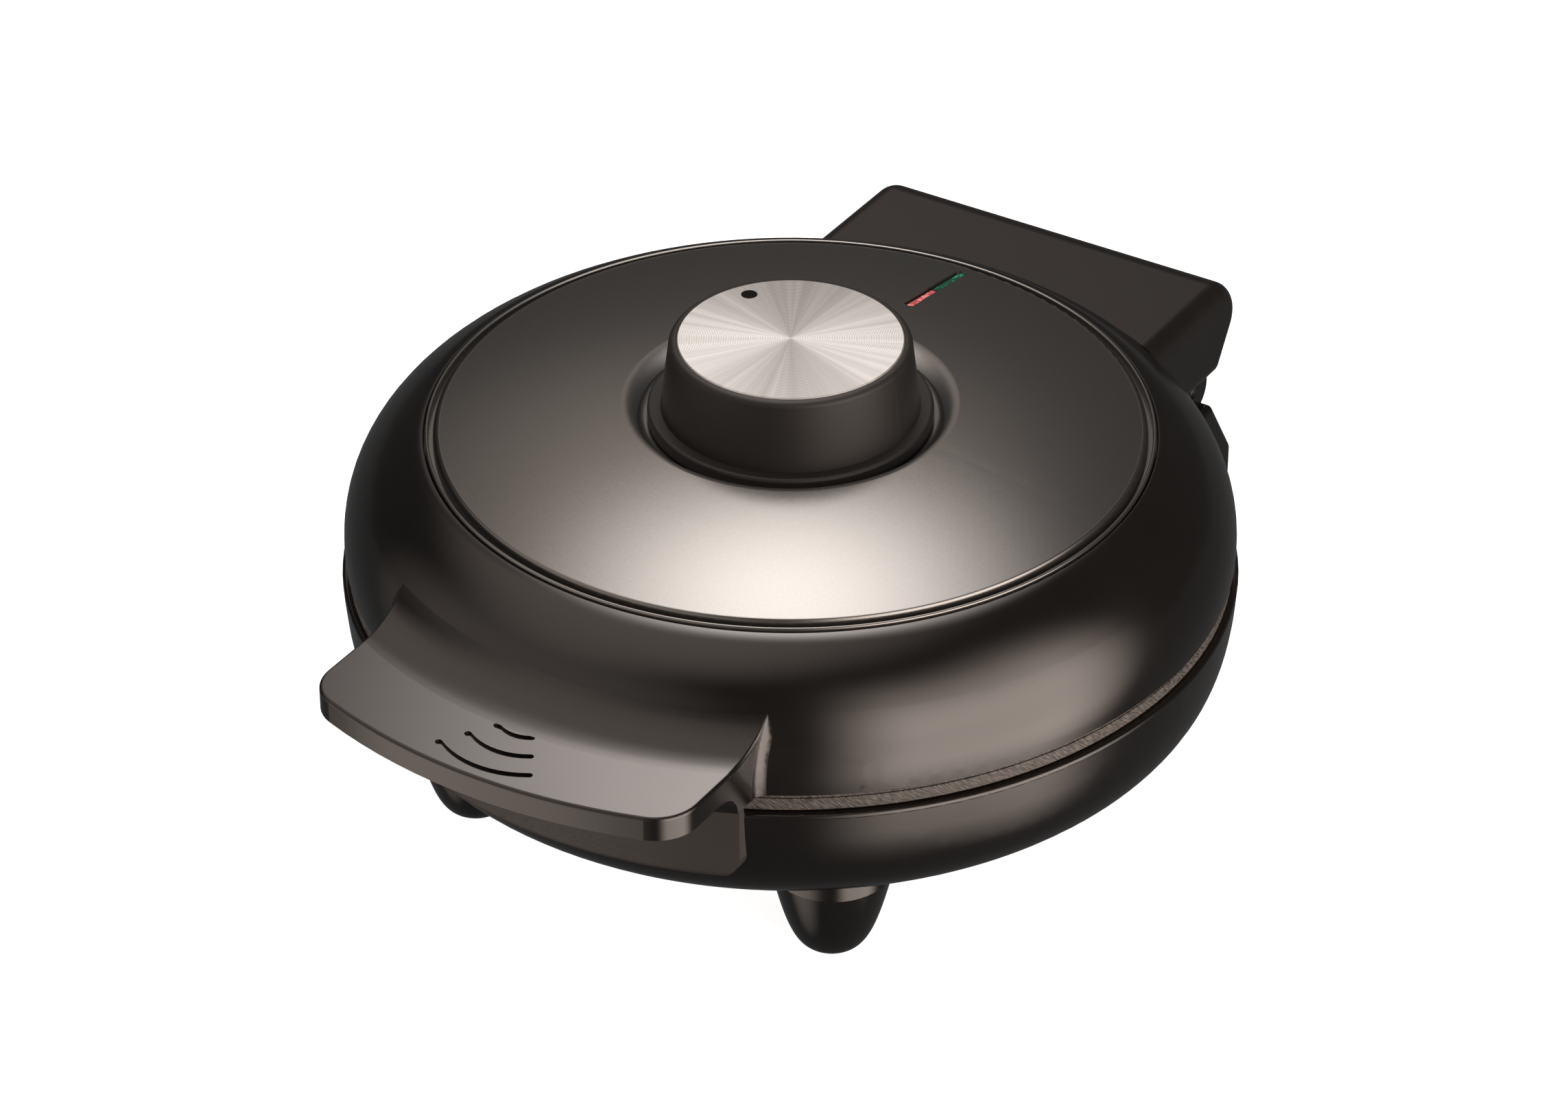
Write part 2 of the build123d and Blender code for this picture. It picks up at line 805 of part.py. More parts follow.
def plate_clips(face, into):
    """Tabs screwed to the bezel's land that hold the plate's flange."""
    inner = plate_radius - plate_flange_width / 2
    outer = skirt_inner - clip_edge
    with BuildPart() as clips:
        with BuildSketch(Plane.XY.offset(face + into * bezel_back)):
            with PolarLocations((inner + outer) / 2, clip_count):
                Rectangle(outer - inner, clip_length)
            with Locations(*clip_places(land_middle)):
                Circle(small_screw_radius + screw_slack, mode=Mode.SUBTRACT)
        extrude(amount=into * clip_thickness)
    return clips


def screw_group(fastener, points, seat, upward):
    """One screw at each point, its head resting at the seat's height."""
    turn = 0 if upward else 180
    with BuildPart() as group:
        with Locations(*[Location((x, y, seat), (turn, 0, 0)) for x, y in points]):
            add(fastener)
    return group


small_screw = screw(small_head_radius, small_head_height, small_screw_radius, clip_thickness + small_thread)
reflector_screw = screw(screw_head_radius, screw_head_height, screw_radius, reflector_thickness + screw_grip)

for level, face, into in (("lower", parting, -1), ("upper", lid_face, 1)):
    save(baking_plate(face, into), f"{level}_plate")
    save(heater(face, into), f"{level}_heating_element")
    save(reflector(face, into), f"{level}_reflector")
    save(plate_clips(face, into), f"{level}_plate_clips")
    clip_back = face + into * (bezel_back + clip_thickness)
    clip_screws = screw_group(small_screw, clip_places(land_middle), clip_back, into < 0)
    save(clip_screws, f"{level}_clip_screws")

# Screws of the base: short ones hold the reflector, long ones from below close the base

save(screw_group(reflector_screw, boss_points[0::2], reflector_level, True), "lower_reflector_screws")
base_screw_length = reflector_level + reflector_thickness - base_screw_seat + screw_grip
base_screw = screw(screw_head_radius, screw_head_height, screw_radius, base_screw_length)
save(screw_group(base_screw, post_points, base_screw_seat, True), "base_screws")

# Feet: gloss bullet-shaped legs, each with a screw and a rubber pad


def foot(place, seat):
    """One foot from its pad up to its seat under the base."""
    with BuildPart() as leg:
        with BuildSketch(Plane.XZ):
            with BuildLine():
                side = Bezier(
                    (foot_flat_radius, pad_thickness),
                    (foot_toe_radius, pad_thickness),
                    (foot_belly_radius, foot_belly_height),
                    (foot_top_radius, seat),
                )
                Polyline(side @ 1, (0, seat), (0, pad_thickness), side @ 0)
            make_face()
        revolve(axis=Axis.Z)
        with BuildSketch(Plane.XY.offset(pad_thickness)):
            Circle(pad_stem_radius + pad_slack)
        extrude(amount=foot_screw_seat - pad_thickness, mode=Mode.SUBTRACT)
        with BuildSketch(Plane.XY.offset(foot_screw_seat)):
            Circle(screw_radius + screw_slack)
        extrude(amount=seat - foot_screw_seat, mode=Mode.SUBTRACT)
    with BuildPart() as placed:
        with Locations(place):
            add(leg.part)
    return placed


with BuildPart() as rubber_pad:
    with BuildSketch():
        Circle(pad_radius)
    extrude(amount=pad_thickness)
    with BuildSketch():
        Circle(pad_stem_radius)
    extrude(amount=pad_thickness + pad_stem)

with BuildPart() as foot_screws:
    for name, place in foot_points.items():
        length = foot_seats[name] - foot_screw_seat + foot_thread - thread_slack
        with Locations((*place, foot_screw_seat)):
            add(screw(screw_head_radius, screw_head_height, screw_radius, length))
save(foot_screws, "foot_screws")

for name, place in foot_points.items():
    save(foot(place, foot_seats[name]), f"foot_{name}")
    with BuildPart() as foot_pad:
        with Locations(place):
            add(rubber_pad.part)
    save(foot_pad, f"foot_pad_{name}")

# Hinge pin: plain steel rod pressed into the base knuckles

with BuildPart() as hinge_pin:
    with BuildSketch(Plane.YZ):
        with Locations((hinge_place, hinge_height)):
            Circle(pin_radius)
    extrude(amount=knuckle_end - pin_sink, both=True)
    chamfer(hinge_pin.edges(), pin_radius / 5)
save(hinge_pin, "hinge_pin")

# Cord gland: flanged sleeve in the back wall where the cord enters

with BuildPart() as cord_gland:
    with BuildSketch(Plane.XZ.offset(-rear_back)):
        with Locations((0, gland_level)):
            Circle(gland_flange_radius)
    extrude(amount=gland_flange_thickness)
    with BuildSketch(Plane.XZ.offset(-rear_back)):
        with Locations((0, gland_level)):
            Circle(gland_radius)
    extrude(amount=gland_length)
    with BuildSketch(Plane.XZ.offset(-rear_back)):
        with Locations((0, gland_level)):
            Circle(cord_radius)
    extrude(amount=gland_length, mode=Mode.SUBTRACT)
save(cord_gland, "cord_gland")

# Terminal block on the rear housing's floor, with its screw

terminal_floor = rear_bottom + shell_wall
terminal_top = terminal_floor + terminal_height
clamp_pitch = terminal_length / 3

with BuildPart() as terminal_block:
    with BuildSketch(Plane.XY.offset(terminal_floor)):
        with Locations((0, terminal_place)):
            RectangleRounded(terminal_length, terminal_width, small_screw_radius)
    extrude(amount=terminal_height)
    with BuildSketch(Plane.XY.offset(terminal_floor)):
        with Locations((0, terminal_place)):
            Circle(small_screw_radius + screw_slack)
    extrude(amount=terminal_height, mode=Mode.SUBTRACT)
    with BuildSketch(Plane.XY.offset(terminal_top)):
        with Locations((0, terminal_place)):
            Circle(small_head_radius + screw_slack)
    extrude(amount=-terminal_sink, mode=Mode.SUBTRACT)
    with BuildSketch(Plane.XZ.offset(-terminal_place - terminal_width / 2)):
        with Locations((-clamp_pitch, terminal_floor + terminal_height / 2)):
            Circle(wire_radius + screw_slack)
        with Locations((clamp_pitch, terminal_floor + terminal_height / 2)):
            Circle(wire_radius + screw_slack)
    extrude(amount=terminal_width, mode=Mode.SUBTRACT)
save(terminal_block, "terminal_block")

terminal_seat = terminal_top - terminal_sink
terminal_length_down = terminal_seat - terminal_floor + shell_wall / 2
terminal_fastener = screw(small_head_radius, small_head_height, small_screw_radius, terminal_length_down)
save(screw_group(terminal_fastener, [(0, terminal_place)], terminal_seat, False), "terminal_screw")

# Thermal fuse under the lower reflector, held by a saddle clip

fuse_level = reflector_level - fuse_radius - heater_gap
saddle_inner = fuse_radius + heater_gap
saddle_outer = saddle_inner + clip_strap

with BuildPart() as thermal_fuse:
    with BuildSketch(Plane.XZ):
        with Locations((fuse_place, fuse_level)):
            Circle(fuse_radius)
    extrude(amount=fuse_length / 2, both=True)
    with BuildSketch(Plane.XZ):
        with Locations((fuse_place, fuse_level)):
            Circle(fuse_lead_radius)
    extrude(amount=fuse_length / 2 + fuse_lead, both=True)
save(thermal_fuse, "thermal_fuse")

with BuildPart() as fuse_clip:
    with BuildSketch(Plane.XZ):
        with Locations((fuse_place, fuse_level)):
            Circle(saddle_outer)
        with Locations((fuse_place, (fuse_level + reflector_level) / 2)):
            Rectangle(2 * saddle_outer, reflector_level - fuse_level)
        with Locations((fuse_place, reflector_level - clip_strap / 2)):
            Rectangle(2 * (saddle_outer + clip_strap_foot), clip_strap)
        with Locations((fuse_place, fuse_level)):
            Circle(saddle_inner, mode=Mode.SUBTRACT)
        with Locations((fuse_place, (fuse_level + reflector_level) / 2)):
            Rectangle(2 * saddle_inner, reflector_level - fuse_level, mode=Mode.SUBTRACT)
        with Locations((fuse_place, reflector_level + saddle_outer)):
            Rectangle(4 * saddle_outer, 2 * saddle_outer, mode=Mode.SUBTRACT)
    extrude(amount=clip_strap_width / 2, both=True)
save(fuse_clip, "fuse_clip")

# Base wires from the terminals to the lower heater's legs

with BuildPart() as base_wires:
    for side, leg in zip((-1, 1), leg_points):
        leg_end = parting - heater_depth - heater_leg
        start = Vector(side * clamp_pitch, terminal_place - terminal_width / 2, terminal_floor + terminal_height / 2)
        finish = Vector(leg[0], leg[1], leg_end - wire_radius)
        with BuildLine():
            path = Bezier(
                start,
                start + Vector(0, -terminal_width / 2, 0),
                start + Vector(0, -terminal_width, wire_rise),
                finish + Vector(0, 2 * terminal_width, 0),
                finish + Vector(0, terminal_width, 0),
                finish,
            )
        with BuildSketch(Plane(path @ 0, z_dir=path % 0)):
            Circle(wire_radius)
        sweep(path=path)
save(base_wires, "base_wires")

# Lid shell: gloss ring-shaped moulding with the handle, its grip grooves and the panel's seat

sweep_turn = radians(handle_sweep_angle)
root_radius = shell_radius - handle_root_inset
root_height = handle_top + handle_sweep * (1 - cos(sweep_turn))
sweep_place = root_radius + handle_sweep * sin(sweep_turn)
grip_wall = shell_radius + grip_wall_reach
grip_rise = handle_under - lid_bottom
root_start = sqrt(shell_radius**2 - handle_half**2)
tongue_top = plate_level + tongue_thickness
ear_circle = ledge_radius - ear_inset

with BuildSketch() as handle_plan:
    Circle(handle_front)
    with Locations((0, -handle_front / 2)):
        Rectangle(handle_width, handle_front, mode=Mode.INTERSECT)
    fillet(handle_plan.vertices().group_by(Axis.Y)[0], handle_corner)

with BuildPart() as lid_handle:
    with BuildSketch(Plane.XZ):
        with BuildLine():
            hollow = CenterArc(
                (sweep_place, handle_top + handle_sweep), handle_sweep, 270 - handle_sweep_angle, handle_sweep_angle
            )
            under = CenterArc((grip_wall + grip_rise, lid_bottom), grip_rise, 90, 90)
            past_front = handle_front + handle_lip
            Polyline(hollow @ 1, (past_front, handle_top), (past_front, handle_under), under @ 0)
            inside = root_radius - shell_wall
            Polyline(under @ 1, (inside, lid_bottom), (inside, root_height), hollow @ 0)
        make_face()
    revolve(axis=Axis.Z)
    with BuildSketch(Plane.XY.offset(lid_bottom)):
        add(handle_plan.sketch)
    extrude(amount=lid_height, mode=Mode.INTERSECT)
    outer_edges = [
        edge
        for edge in lid_handle.edges()
        if handle_top - handle_edge < edge.center().Z < root_height - handle_edge / 8
        and (abs(edge.center().X) > handle_half / 2 or edge.center().Y < handle_lip - handle_front)
    ]
    fillet(outer_edges, handle_edge)

with BuildPart() as lid_posts:
    with BuildSketch(Plane.XY.offset(plate_level)):
        with PolarLocations(land_middle, lid_screw_count, 45):
            Circle(lid_post_radius)
        with PolarLocations(land_middle + lid_post_radius, lid_screw_count, 45):
            Rectangle(2 * lid_post_radius, lid_post_radius)
    extrude(amount=ledge_bottom - plate_level)
    add(lid_form(-seam_gap), mode=Mode.INTERSECT)
    with BuildSketch(Plane.XY.offset(plate_level)):
        with PolarLocations(land_middle, lid_screw_count, 45):
            Circle(lid_post_radius)
    extrude(amount=lid_bottom - plate_level + bezel_edge)

with BuildPart() as lid_shell:
    add(lid_form())
    add(lid_handle.part)
    root_edges = [
        edge
        for edge in lid_shell.edges()
        if abs(abs(edge.center().X) - handle_half) < seam_gap / 4
        and lid_bottom + handle_edge < edge.center().Z < handle_top
        and edge.center().Y > -root_start
    ]
    fillet(root_edges, handle_root_round)
    add(lid_cavity(), mode=Mode.SUBTRACT)
    add(lid_posts.part)
    with BuildSketch(Plane.XY.offset(ledge_bottom)):
        with PolarLocations(ear_circle, panel_screw_count, 45):
            Circle(ear_radius)
        with PolarLocations(ledge_radius, panel_screw_count, 45):
            Rectangle(2 * ear_inset, 2 * ear_radius)
    extrude(amount=ledge_thickness)
    with BuildSketch(Plane.XY.offset(ledge_bottom)):
        with PolarLocations(ear_circle, panel_screw_count, 45):
            Circle(screw_radius + screw_slack)
    extrude(amount=ledge_thickness, mode=Mode.SUBTRACT)
    with BuildSketch(Plane.XY.offset(plate_level)):
        with Locations(*lid_screw_places(land_middle)):
            Circle(small_screw_radius + thread_slack)
    extrude(amount=lid_screw_thread, mode=Mode.SUBTRACT)
    with BuildSketch(Plane.XY.offset(lid_face)):
        with Locations((0, shell_radius)):
            Rectangle(tongue_width + 2 * tongue_slack, shell_radius / 3)
    extrude(amount=tongue_top + tongue_slack - lid_face, mode=Mode.SUBTRACT)
    with BuildSketch(Plane.XY.offset(handle_under)):
        add(handle_plan.sketch)
        offset(amount=-handle_wall)
        Circle(grip_wall + grip_rise, mode=Mode.SUBTRACT)
    extrude(amount=handle_lip - handle_wall, mode=Mode.SUBTRACT)
    with BuildSketch(Plane.XY.offset(handle_top)):
        for step in range(groove_count):
            sweep_arc = CenterArc(
                (0, -shell_radius - groove_centre_reach),
                groove_first + groove_pitch * step,
                270 - groove_half_angle,
                2 * groove_half_angle,
                mode=Mode.PRIVATE,
            )
            SlotArc(sweep_arc, groove_width)
    extrude(amount=-groove_depth, mode=Mode.SUBTRACT)
save(lid_shell, "lid_shell")

lid_screw = screw(small_head_radius, small_head_height, small_screw_radius, bezel_back + lid_screw_thread / 2)
save(screw_group(lid_screw, lid_screw_places(land_middle), lid_face + lid_screw_sink, True), "lid_screws")

# Lid hinge block: rear cover of the lid with the hinge barrel and a tongue under the shell


def block_back(height):
    """Back face of the hinge block at a height."""
    return hinge_place + block_foot_reach + (height - block_bottom) * tan(radians(block_lean))


block_half = block_width / 2
block_front = lip_radius
back_wall = shell_wall / cos(radians(block_lean))

with BuildPart() as block_cavity:
    with BuildSketch(Plane.YZ) as inside_outline:
        with BuildLine():
            Polyline(
                (block_front, parting),
                (block_back(parting) - back_wall, parting),
                (block_back(block_top - shell_wall) - back_wall, block_top - shell_wall),
                (block_front, block_top - shell_wall),
                close=True,
            )
        make_face()
        fillet(inside_outline.vertices().sort_by(Axis.X)[-1], block_back_round - shell_wall)
    extrude(amount=block_half - shell_wall, both=True)

with BuildPart() as lid_hinge_block:
    with BuildSketch(Plane.YZ) as side_outline:
        with BuildLine():
            Polyline(
                (block_front, block_bottom),
                (block_back(block_bottom), block_bottom),
                (block_back(block_top), block_top),
                (block_front, block_top),
                close=True,
            )
        make_face()
        fillet(side_outline.vertices().sort_by(Axis.X)[-1], block_back_round)
        fillet(side_outline.vertices().group_by(Axis.Y)[0].sort_by(Axis.X)[-1], block_foot_round)
    extrude(amount=block_half, both=True)
    round_edges = [
        edge
        for edge in lid_hinge_block.edges()
        if abs(edge.center().X) > block_half - seam_gap
        and edge.center().Y > block_front + seam_gap
        and edge.center().Z > block_bottom + seam_gap
    ]
    fillet(round_edges, block_side_round)
    add(block_cavity.part, mode=Mode.SUBTRACT)
    add(lid_form(seam_gap), mode=Mode.SUBTRACT)
    body_radius = shell_radius - bezel_edge + seam_gap
    add(turned((0, parting), (body_radius, parting), (body_radius, lid_bottom), (0, lid_bottom)), mode=Mode.SUBTRACT)
    with BuildSketch(Plane.XY.offset(plate_level)):
        with BuildLine():
            Polyline(
                (-tongue_width / 2, inner_radius - tongue_reach),
                (tongue_width / 2, inner_radius - tongue_reach),
                (tongue_width / 2, shell_radius + tongue_thickness),
                (-tongue_width / 2, shell_radius + tongue_thickness),
                close=True,
            )
        make_face()
        with BuildLine():
            floor_half = block_half - shell_wall / 2
            Polyline(
                (-floor_half, base_rim + seam_gap),
                (floor_half, base_rim + seam_gap),
                (floor_half, block_back(plate_level) - back_wall / 2),
                (-floor_half, block_back(plate_level) - back_wall / 2),
                close=True,
            )
        make_face()
    extrude(amount=tongue_thickness)
    with BuildSketch(Plane.XY.offset(plate_level)):
        with Locations(*tongue_points):
            Circle(small_screw_radius + screw_slack)
    extrude(amount=tongue_thickness, mode=Mode.SUBTRACT)
    for side in (-1, 1):
        with BuildSketch(Plane.YZ.offset(side * barrel_end)):
            with Locations((hinge_place, hinge_height)):
                Circle(knuckle_radius + hinge_clearance)
        extrude(amount=side * (block_half - shell_wall - barrel_end), mode=Mode.SUBTRACT)
    with BuildSketch(Plane.YZ):
        with Locations((hinge_place, hinge_height)):
            Circle(barrel_radius)
        with BuildLine():
            Polyline(
                (hinge_place - barrel_radius, hinge_height),
                (hinge_place + barrel_radius / 2, hinge_height),
                (hinge_place + barrel_radius / 2, plate_level + tongue_thickness / 2),
                (hinge_place - barrel_radius, plate_level + tongue_thickness / 2),
                close=True,
            )
        make_face()
        with Locations((hinge_place, hinge_height)):
            Circle(pin_radius + pin_slack, mode=Mode.SUBTRACT)
    extrude(amount=barrel_end, both=True)
save(lid_hinge_block, "lid_hinge_block")

tongue_screw = screw(small_head_radius, small_head_height, small_screw_radius, tongue_thickness + small_thread)
save(screw_group(tongue_screw, tongue_points, tongue_top, False), "hinge_block_screws")

# Lid panel: satin domed disc with the knob's well and the lamp slot

flange_top = panel_seat + panel_flange_thickness
bead_top = lip_height + panel_bead_rise
panel_inner = panel_edge - panel_wall
dome_middle = (well_edge + dome_edge) / 2
slope_pull = 0.55 * well_slope
slot_slope = slot_reach / dome_radius
lamp_plane = Plane((0, slot_reach, dome(slot_reach)), x_dir=(1, 0, 0), z_dir=(0, slot_slope, 1))

with BuildPart() as lid_panel:
    with BuildSketch(Plane.XZ):
        with BuildLine():
            well_side = Bezier(
                (well_radius, well_floor),
                (well_radius + slope_pull, well_floor),
                (well_edge - slope_pull, dome(well_edge)),
                (well_edge, dome(well_edge)),
            )
            crown = ThreePointArc(
                well_side @ 1, (dome_middle, dome(dome_middle)), (dome_edge, dome(dome_edge))
            )
            edge_round = CenterArc(
                (dome_edge, panel_edge_top - panel_edge_round), panel_edge_round, 0, 90
            )
            under_crown = ThreePointArc(
                (panel_inner, dome(panel_inner) - panel_wall),
                (dome_middle, dome(dome_middle) - panel_wall),
                (well_edge + panel_wall / 2, dome(well_edge) - panel_wall),
            )
            under_well = Bezier(
                under_crown @ 1,
                (well_edge + panel_wall / 2 - slope_pull, dome(well_edge) - panel_wall),
                (well_radius + panel_wall / 2 + slope_pull, well_floor - panel_wall),
                (well_radius + panel_wall / 2, well_floor - panel_wall),
            )
            bead = CenterArc(
                (panel_radius - panel_bead_radius, bead_top - panel_bead_radius), panel_bead_radius, 0, 180
            )
            Polyline(
                edge_round @ 0,
                (panel_edge, flange_top),
                (panel_radius - 2 * panel_bead_radius, flange_top),
                bead @ 1,
            )
            Polyline(
                bead @ 0,
                (panel_radius, panel_seat),
                (panel_inner, panel_seat),
                under_crown @ 0,
            )
            Polyline(
                under_well @ 1,
                (shaft_hole_radius, well_floor - panel_wall),
                (shaft_hole_radius, well_floor),
                well_side @ 0,
            )
        make_face()
    revolve(axis=Axis.Z)
    with BuildSketch(Plane.XY.offset(panel_seat)):
        with PolarLocations(ear_circle, panel_screw_count, 45):
            Circle(panel_boss_radius)
    extrude(amount=dome(ear_circle) - panel_wall / 2 - panel_seat)
    with BuildSketch(Plane.XY.offset(panel_seat)):
        with PolarLocations(ear_circle, panel_screw_count, 45):
            Circle(screw_radius + thread_slack)
    extrude(amount=small_thread, mode=Mode.SUBTRACT)
    with BuildSketch(lamp_plane.offset(panel_wall)):
        RectangleRounded(slot_width, slot_length, slot_round)
    extrude(amount=-3 * panel_wall, mode=Mode.SUBTRACT)
save(lid_panel, "lid_panel")

panel_points = [polar(ear_circle, 45 + 360 / panel_screw_count * step) for step in range(panel_screw_count)]
panel_length = ledge_thickness + small_thread - thread_slack
panel_screw = screw(screw_head_radius, screw_head_height, screw_radius, panel_length)
save(screw_group(panel_screw, panel_points, ledge_bottom, True), "panel_screws")

# Indicator lamps: a red and a green lens in the slot, over two lamps in a holder

lens_under = panel_wall + lens_gap
lens_back = lens_under + lens_flange_thickness
lens_length = slot_length / 2 - 2 * lens_fit
flange_width = slot_width + 2 * lens_flange
holder_floor = lens_under + holder_depth
lamp_centres = [(0, -slot_length / 4), (0, slot_length / 4)]

for name, centre in zip(("red_lens", "green_lens"), lamp_centres):
    with BuildPart() as lens:
        with BuildSketch(lamp_plane.offset(-lens_sink)):
            with Locations(centre):
                RectangleRounded(slot_width - 2 * lens_fit, lens_length, slot_round)
        extrude(amount=lens_sink - lens_under)
        with BuildSketch(lamp_plane.offset(-lens_under)):
            with Locations(centre):
                Rectangle(flange_width, lens_length)
        extrude(amount=-lens_flange_thickness)
    save(lens, name)

with BuildPart() as lamp_holder:
    with BuildSketch(lamp_plane.offset(-lens_under)):
        with Locations((0, -(holder_wall + holder_inset) / 2)):
            Rectangle(flange_width + 2 * holder_wall, slot_length + holder_wall - holder_inset)
    extrude(amount=-holder_depth)
    with BuildSketch(lamp_plane.offset(-lens_under)):
        Rectangle(flange_width + 2 * lens_fit, slot_length)
    extrude(amount=-lens_flange_thickness, mode=Mode.SUBTRACT)
    with BuildSketch(lamp_plane.offset(-lens_back)):
        with Locations(*lamp_centres):
            Rectangle(2 * lamp_radius + 4 * lens_fit, lens_length - 3 * holder_wall)
    extrude(amount=lens_back - holder_floor + holder_wall, mode=Mode.SUBTRACT)
save(lamp_holder, "lamp_holder")

with BuildPart() as indicator_lamps:
    for centre in lamp_centres:
        lamp_start = lamp_plane.offset(holder_wall + lamp_radius + lens_fit - holder_floor)
        tube_centre = lamp_start.from_local_coords((0, centre[1], 0))
        with BuildSketch(Plane(tube_centre, x_dir=(1, 0, 0), z_dir=lamp_plane.y_dir)):
            Circle(lamp_radius)
        extrude(amount=lamp_length / 2, both=True)
save(indicator_lamps, "indicator_lamps")

# Thermostat on its strap behind the upper reflector

with BuildPart() as thermostat_bracket:
    with BuildSketch(Plane.XY.offset(bracket_level)):
        with PolarLocations(0, 1, 30):
            SlotOverall(2 * (boss_circle + bracket_end), bracket_width)
        with Locations(boss_points[0], boss_points[3]):
            Circle(screw_radius + screw_slack, mode=Mode.SUBTRACT)
    extrude(amount=bracket_thickness)
save(thermostat_bracket, "thermostat_bracket")

strap_length = bracket_thickness + reflector_thickness + screw_grip
strap_screw = screw(screw_head_radius, screw_head_height, screw_radius, strap_length)
save(screw_group(strap_screw, [boss_points[0], boss_points[3]], thermostat_level, False), "thermostat_screws")
plain_points = [boss_points[1], boss_points[2], boss_points[4], boss_points[5]]
save(screw_group(reflector_screw, plain_points, bracket_level, False), "upper_reflector_screws")

with BuildPart() as thermostat:
    with BuildSketch(Plane.XY.offset(thermostat_level)):
        RectangleRounded(thermostat_length, thermostat_width, screw_radius)
    extrude(amount=thermostat_height)
    with BuildSketch(Plane.XY.offset(thermostat_level)):
        Circle(bushing_radius)
    extrude(amount=bushing_top - thermostat_level)
    with BuildSketch(Plane.XY.offset(thermostat_level + thermostat_height / 2)):
        with Locations((-thermostat_length / 2, 0), (thermostat_length / 2, 0)):
            Rectangle(2 * tab_length, tab_width)
    extrude(amount=tab_thickness)
    with BuildSketch(Plane.XY.offset(thermostat_level + thermostat_height / 3)):
        Circle(shaft_radius + shaft_slack)
    extrude(amount=bushing_top - thermostat_level, mode=Mode.SUBTRACT)
save(thermostat, "thermostat")

# Knob: soft black body with a spun aluminium cap, on the thermostat's flatted shaft

cap_floor = knob_top + cap_proud - cap_thickness
shaft_bottom = thermostat_level + thermostat_height / 3 + shaft_stop / 2
shaft_top = cap_floor - knob_wall - shaft_stop
hub_bottom = knob_bottom + hub_lift
skirt_top = knob_bottom + knob_skirt_height
pointer_place = polar(pointer_reach, pointer_angle)


def flatted(radius, bottom, top):
    """Round bar with one flat side, for the shaft's end and the knob's bore."""
    slack = radius - shaft_radius
    with BuildPart() as bar:
        with BuildSketch(Plane.XY.offset(bottom)):
            Circle(radius)
            with Locations((shaft_flat + slack + radius, 0)):
                Rectangle(2 * radius, 2 * radius, mode=Mode.SUBTRACT)
        extrude(amount=top - bottom)
    return bar.part


with BuildPart() as thermostat_shaft:
    with BuildSketch(Plane.XY.offset(shaft_bottom)):
        Circle(shaft_radius)
    extrude(amount=hub_bottom - shaft_bottom)
    add(flatted(shaft_radius, hub_bottom, shaft_top))
save(thermostat_shaft, "thermostat_shaft")

with BuildPart() as knob_body:
    with BuildSketch(Plane.XZ):
        with BuildLine():
            brow = CenterArc((knob_top_radius - knob_round, knob_top - knob_round), knob_round, 0, 90)
            skirt_edge = CenterArc(
                (knob_skirt_radius - knob_skirt_round, skirt_top - knob_skirt_round), knob_skirt_round, 0, 90
            )
            Polyline(
                brow @ 1,
                (cap_radius + cap_fit, knob_top),
                (cap_radius + cap_fit, cap_floor),
                (0, cap_floor),
                (0, hub_bottom),
                (hub_radius, hub_bottom),
                (hub_radius, cap_floor - knob_wall),
                (knob_top_radius - knob_wall, cap_floor - knob_wall),
                (knob_foot_radius - knob_wall, knob_bottom),
                (knob_skirt_radius, knob_bottom),
                skirt_edge @ 0,
            )
            Polyline(skirt_edge @ 1, (knob_foot_radius, skirt_top), brow @ 0)
        make_face()
    revolve(axis=Axis.Z)
    add(flatted(shaft_radius + shaft_slack, hub_bottom, shaft_top + shaft_stop / 2), mode=Mode.SUBTRACT)
    with BuildSketch(Plane.XY.offset(cap_floor)):
        with Locations(pointer_place):
            Circle(pointer_radius)
    extrude(amount=cap_thickness)
save(knob_body, "knob_body")

with BuildPart() as knob_cap:
    with BuildSketch(Plane.XY.offset(cap_floor)):
        Circle(cap_radius)
        with Locations(pointer_place):
            Circle(pointer_radius + pointer_slack, mode=Mode.SUBTRACT)
    extrude(amount=cap_thickness)
    rim_edge = knob_cap.faces().sort_by(Axis.Z)[-1].outer_wire().edges()
    chamfer(rim_edge, cap_edge)
save(knob_cap, "knob_cap")
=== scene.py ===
import math
import bpy
from mathutils import Matrix, Vector


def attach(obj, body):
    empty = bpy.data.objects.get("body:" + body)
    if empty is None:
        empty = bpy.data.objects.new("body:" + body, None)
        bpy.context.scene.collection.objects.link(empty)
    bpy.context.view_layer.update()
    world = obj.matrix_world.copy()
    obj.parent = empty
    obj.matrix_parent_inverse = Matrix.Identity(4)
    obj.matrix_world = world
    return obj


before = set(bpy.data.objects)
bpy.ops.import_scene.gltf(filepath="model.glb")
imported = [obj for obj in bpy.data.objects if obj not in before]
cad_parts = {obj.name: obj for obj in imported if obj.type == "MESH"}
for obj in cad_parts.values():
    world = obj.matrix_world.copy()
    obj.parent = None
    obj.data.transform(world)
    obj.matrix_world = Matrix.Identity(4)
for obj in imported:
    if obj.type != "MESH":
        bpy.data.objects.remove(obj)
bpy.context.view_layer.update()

# Base shell, lid shell, feet and rear hinge block: black ABS, injection moulded in polished tools.
# The shells show a soft, slightly wavy gloss over a warm black, the feet a sharper one, the block a duller one.
# The feet and the block are screwed on, and the lid shell carries the handle.

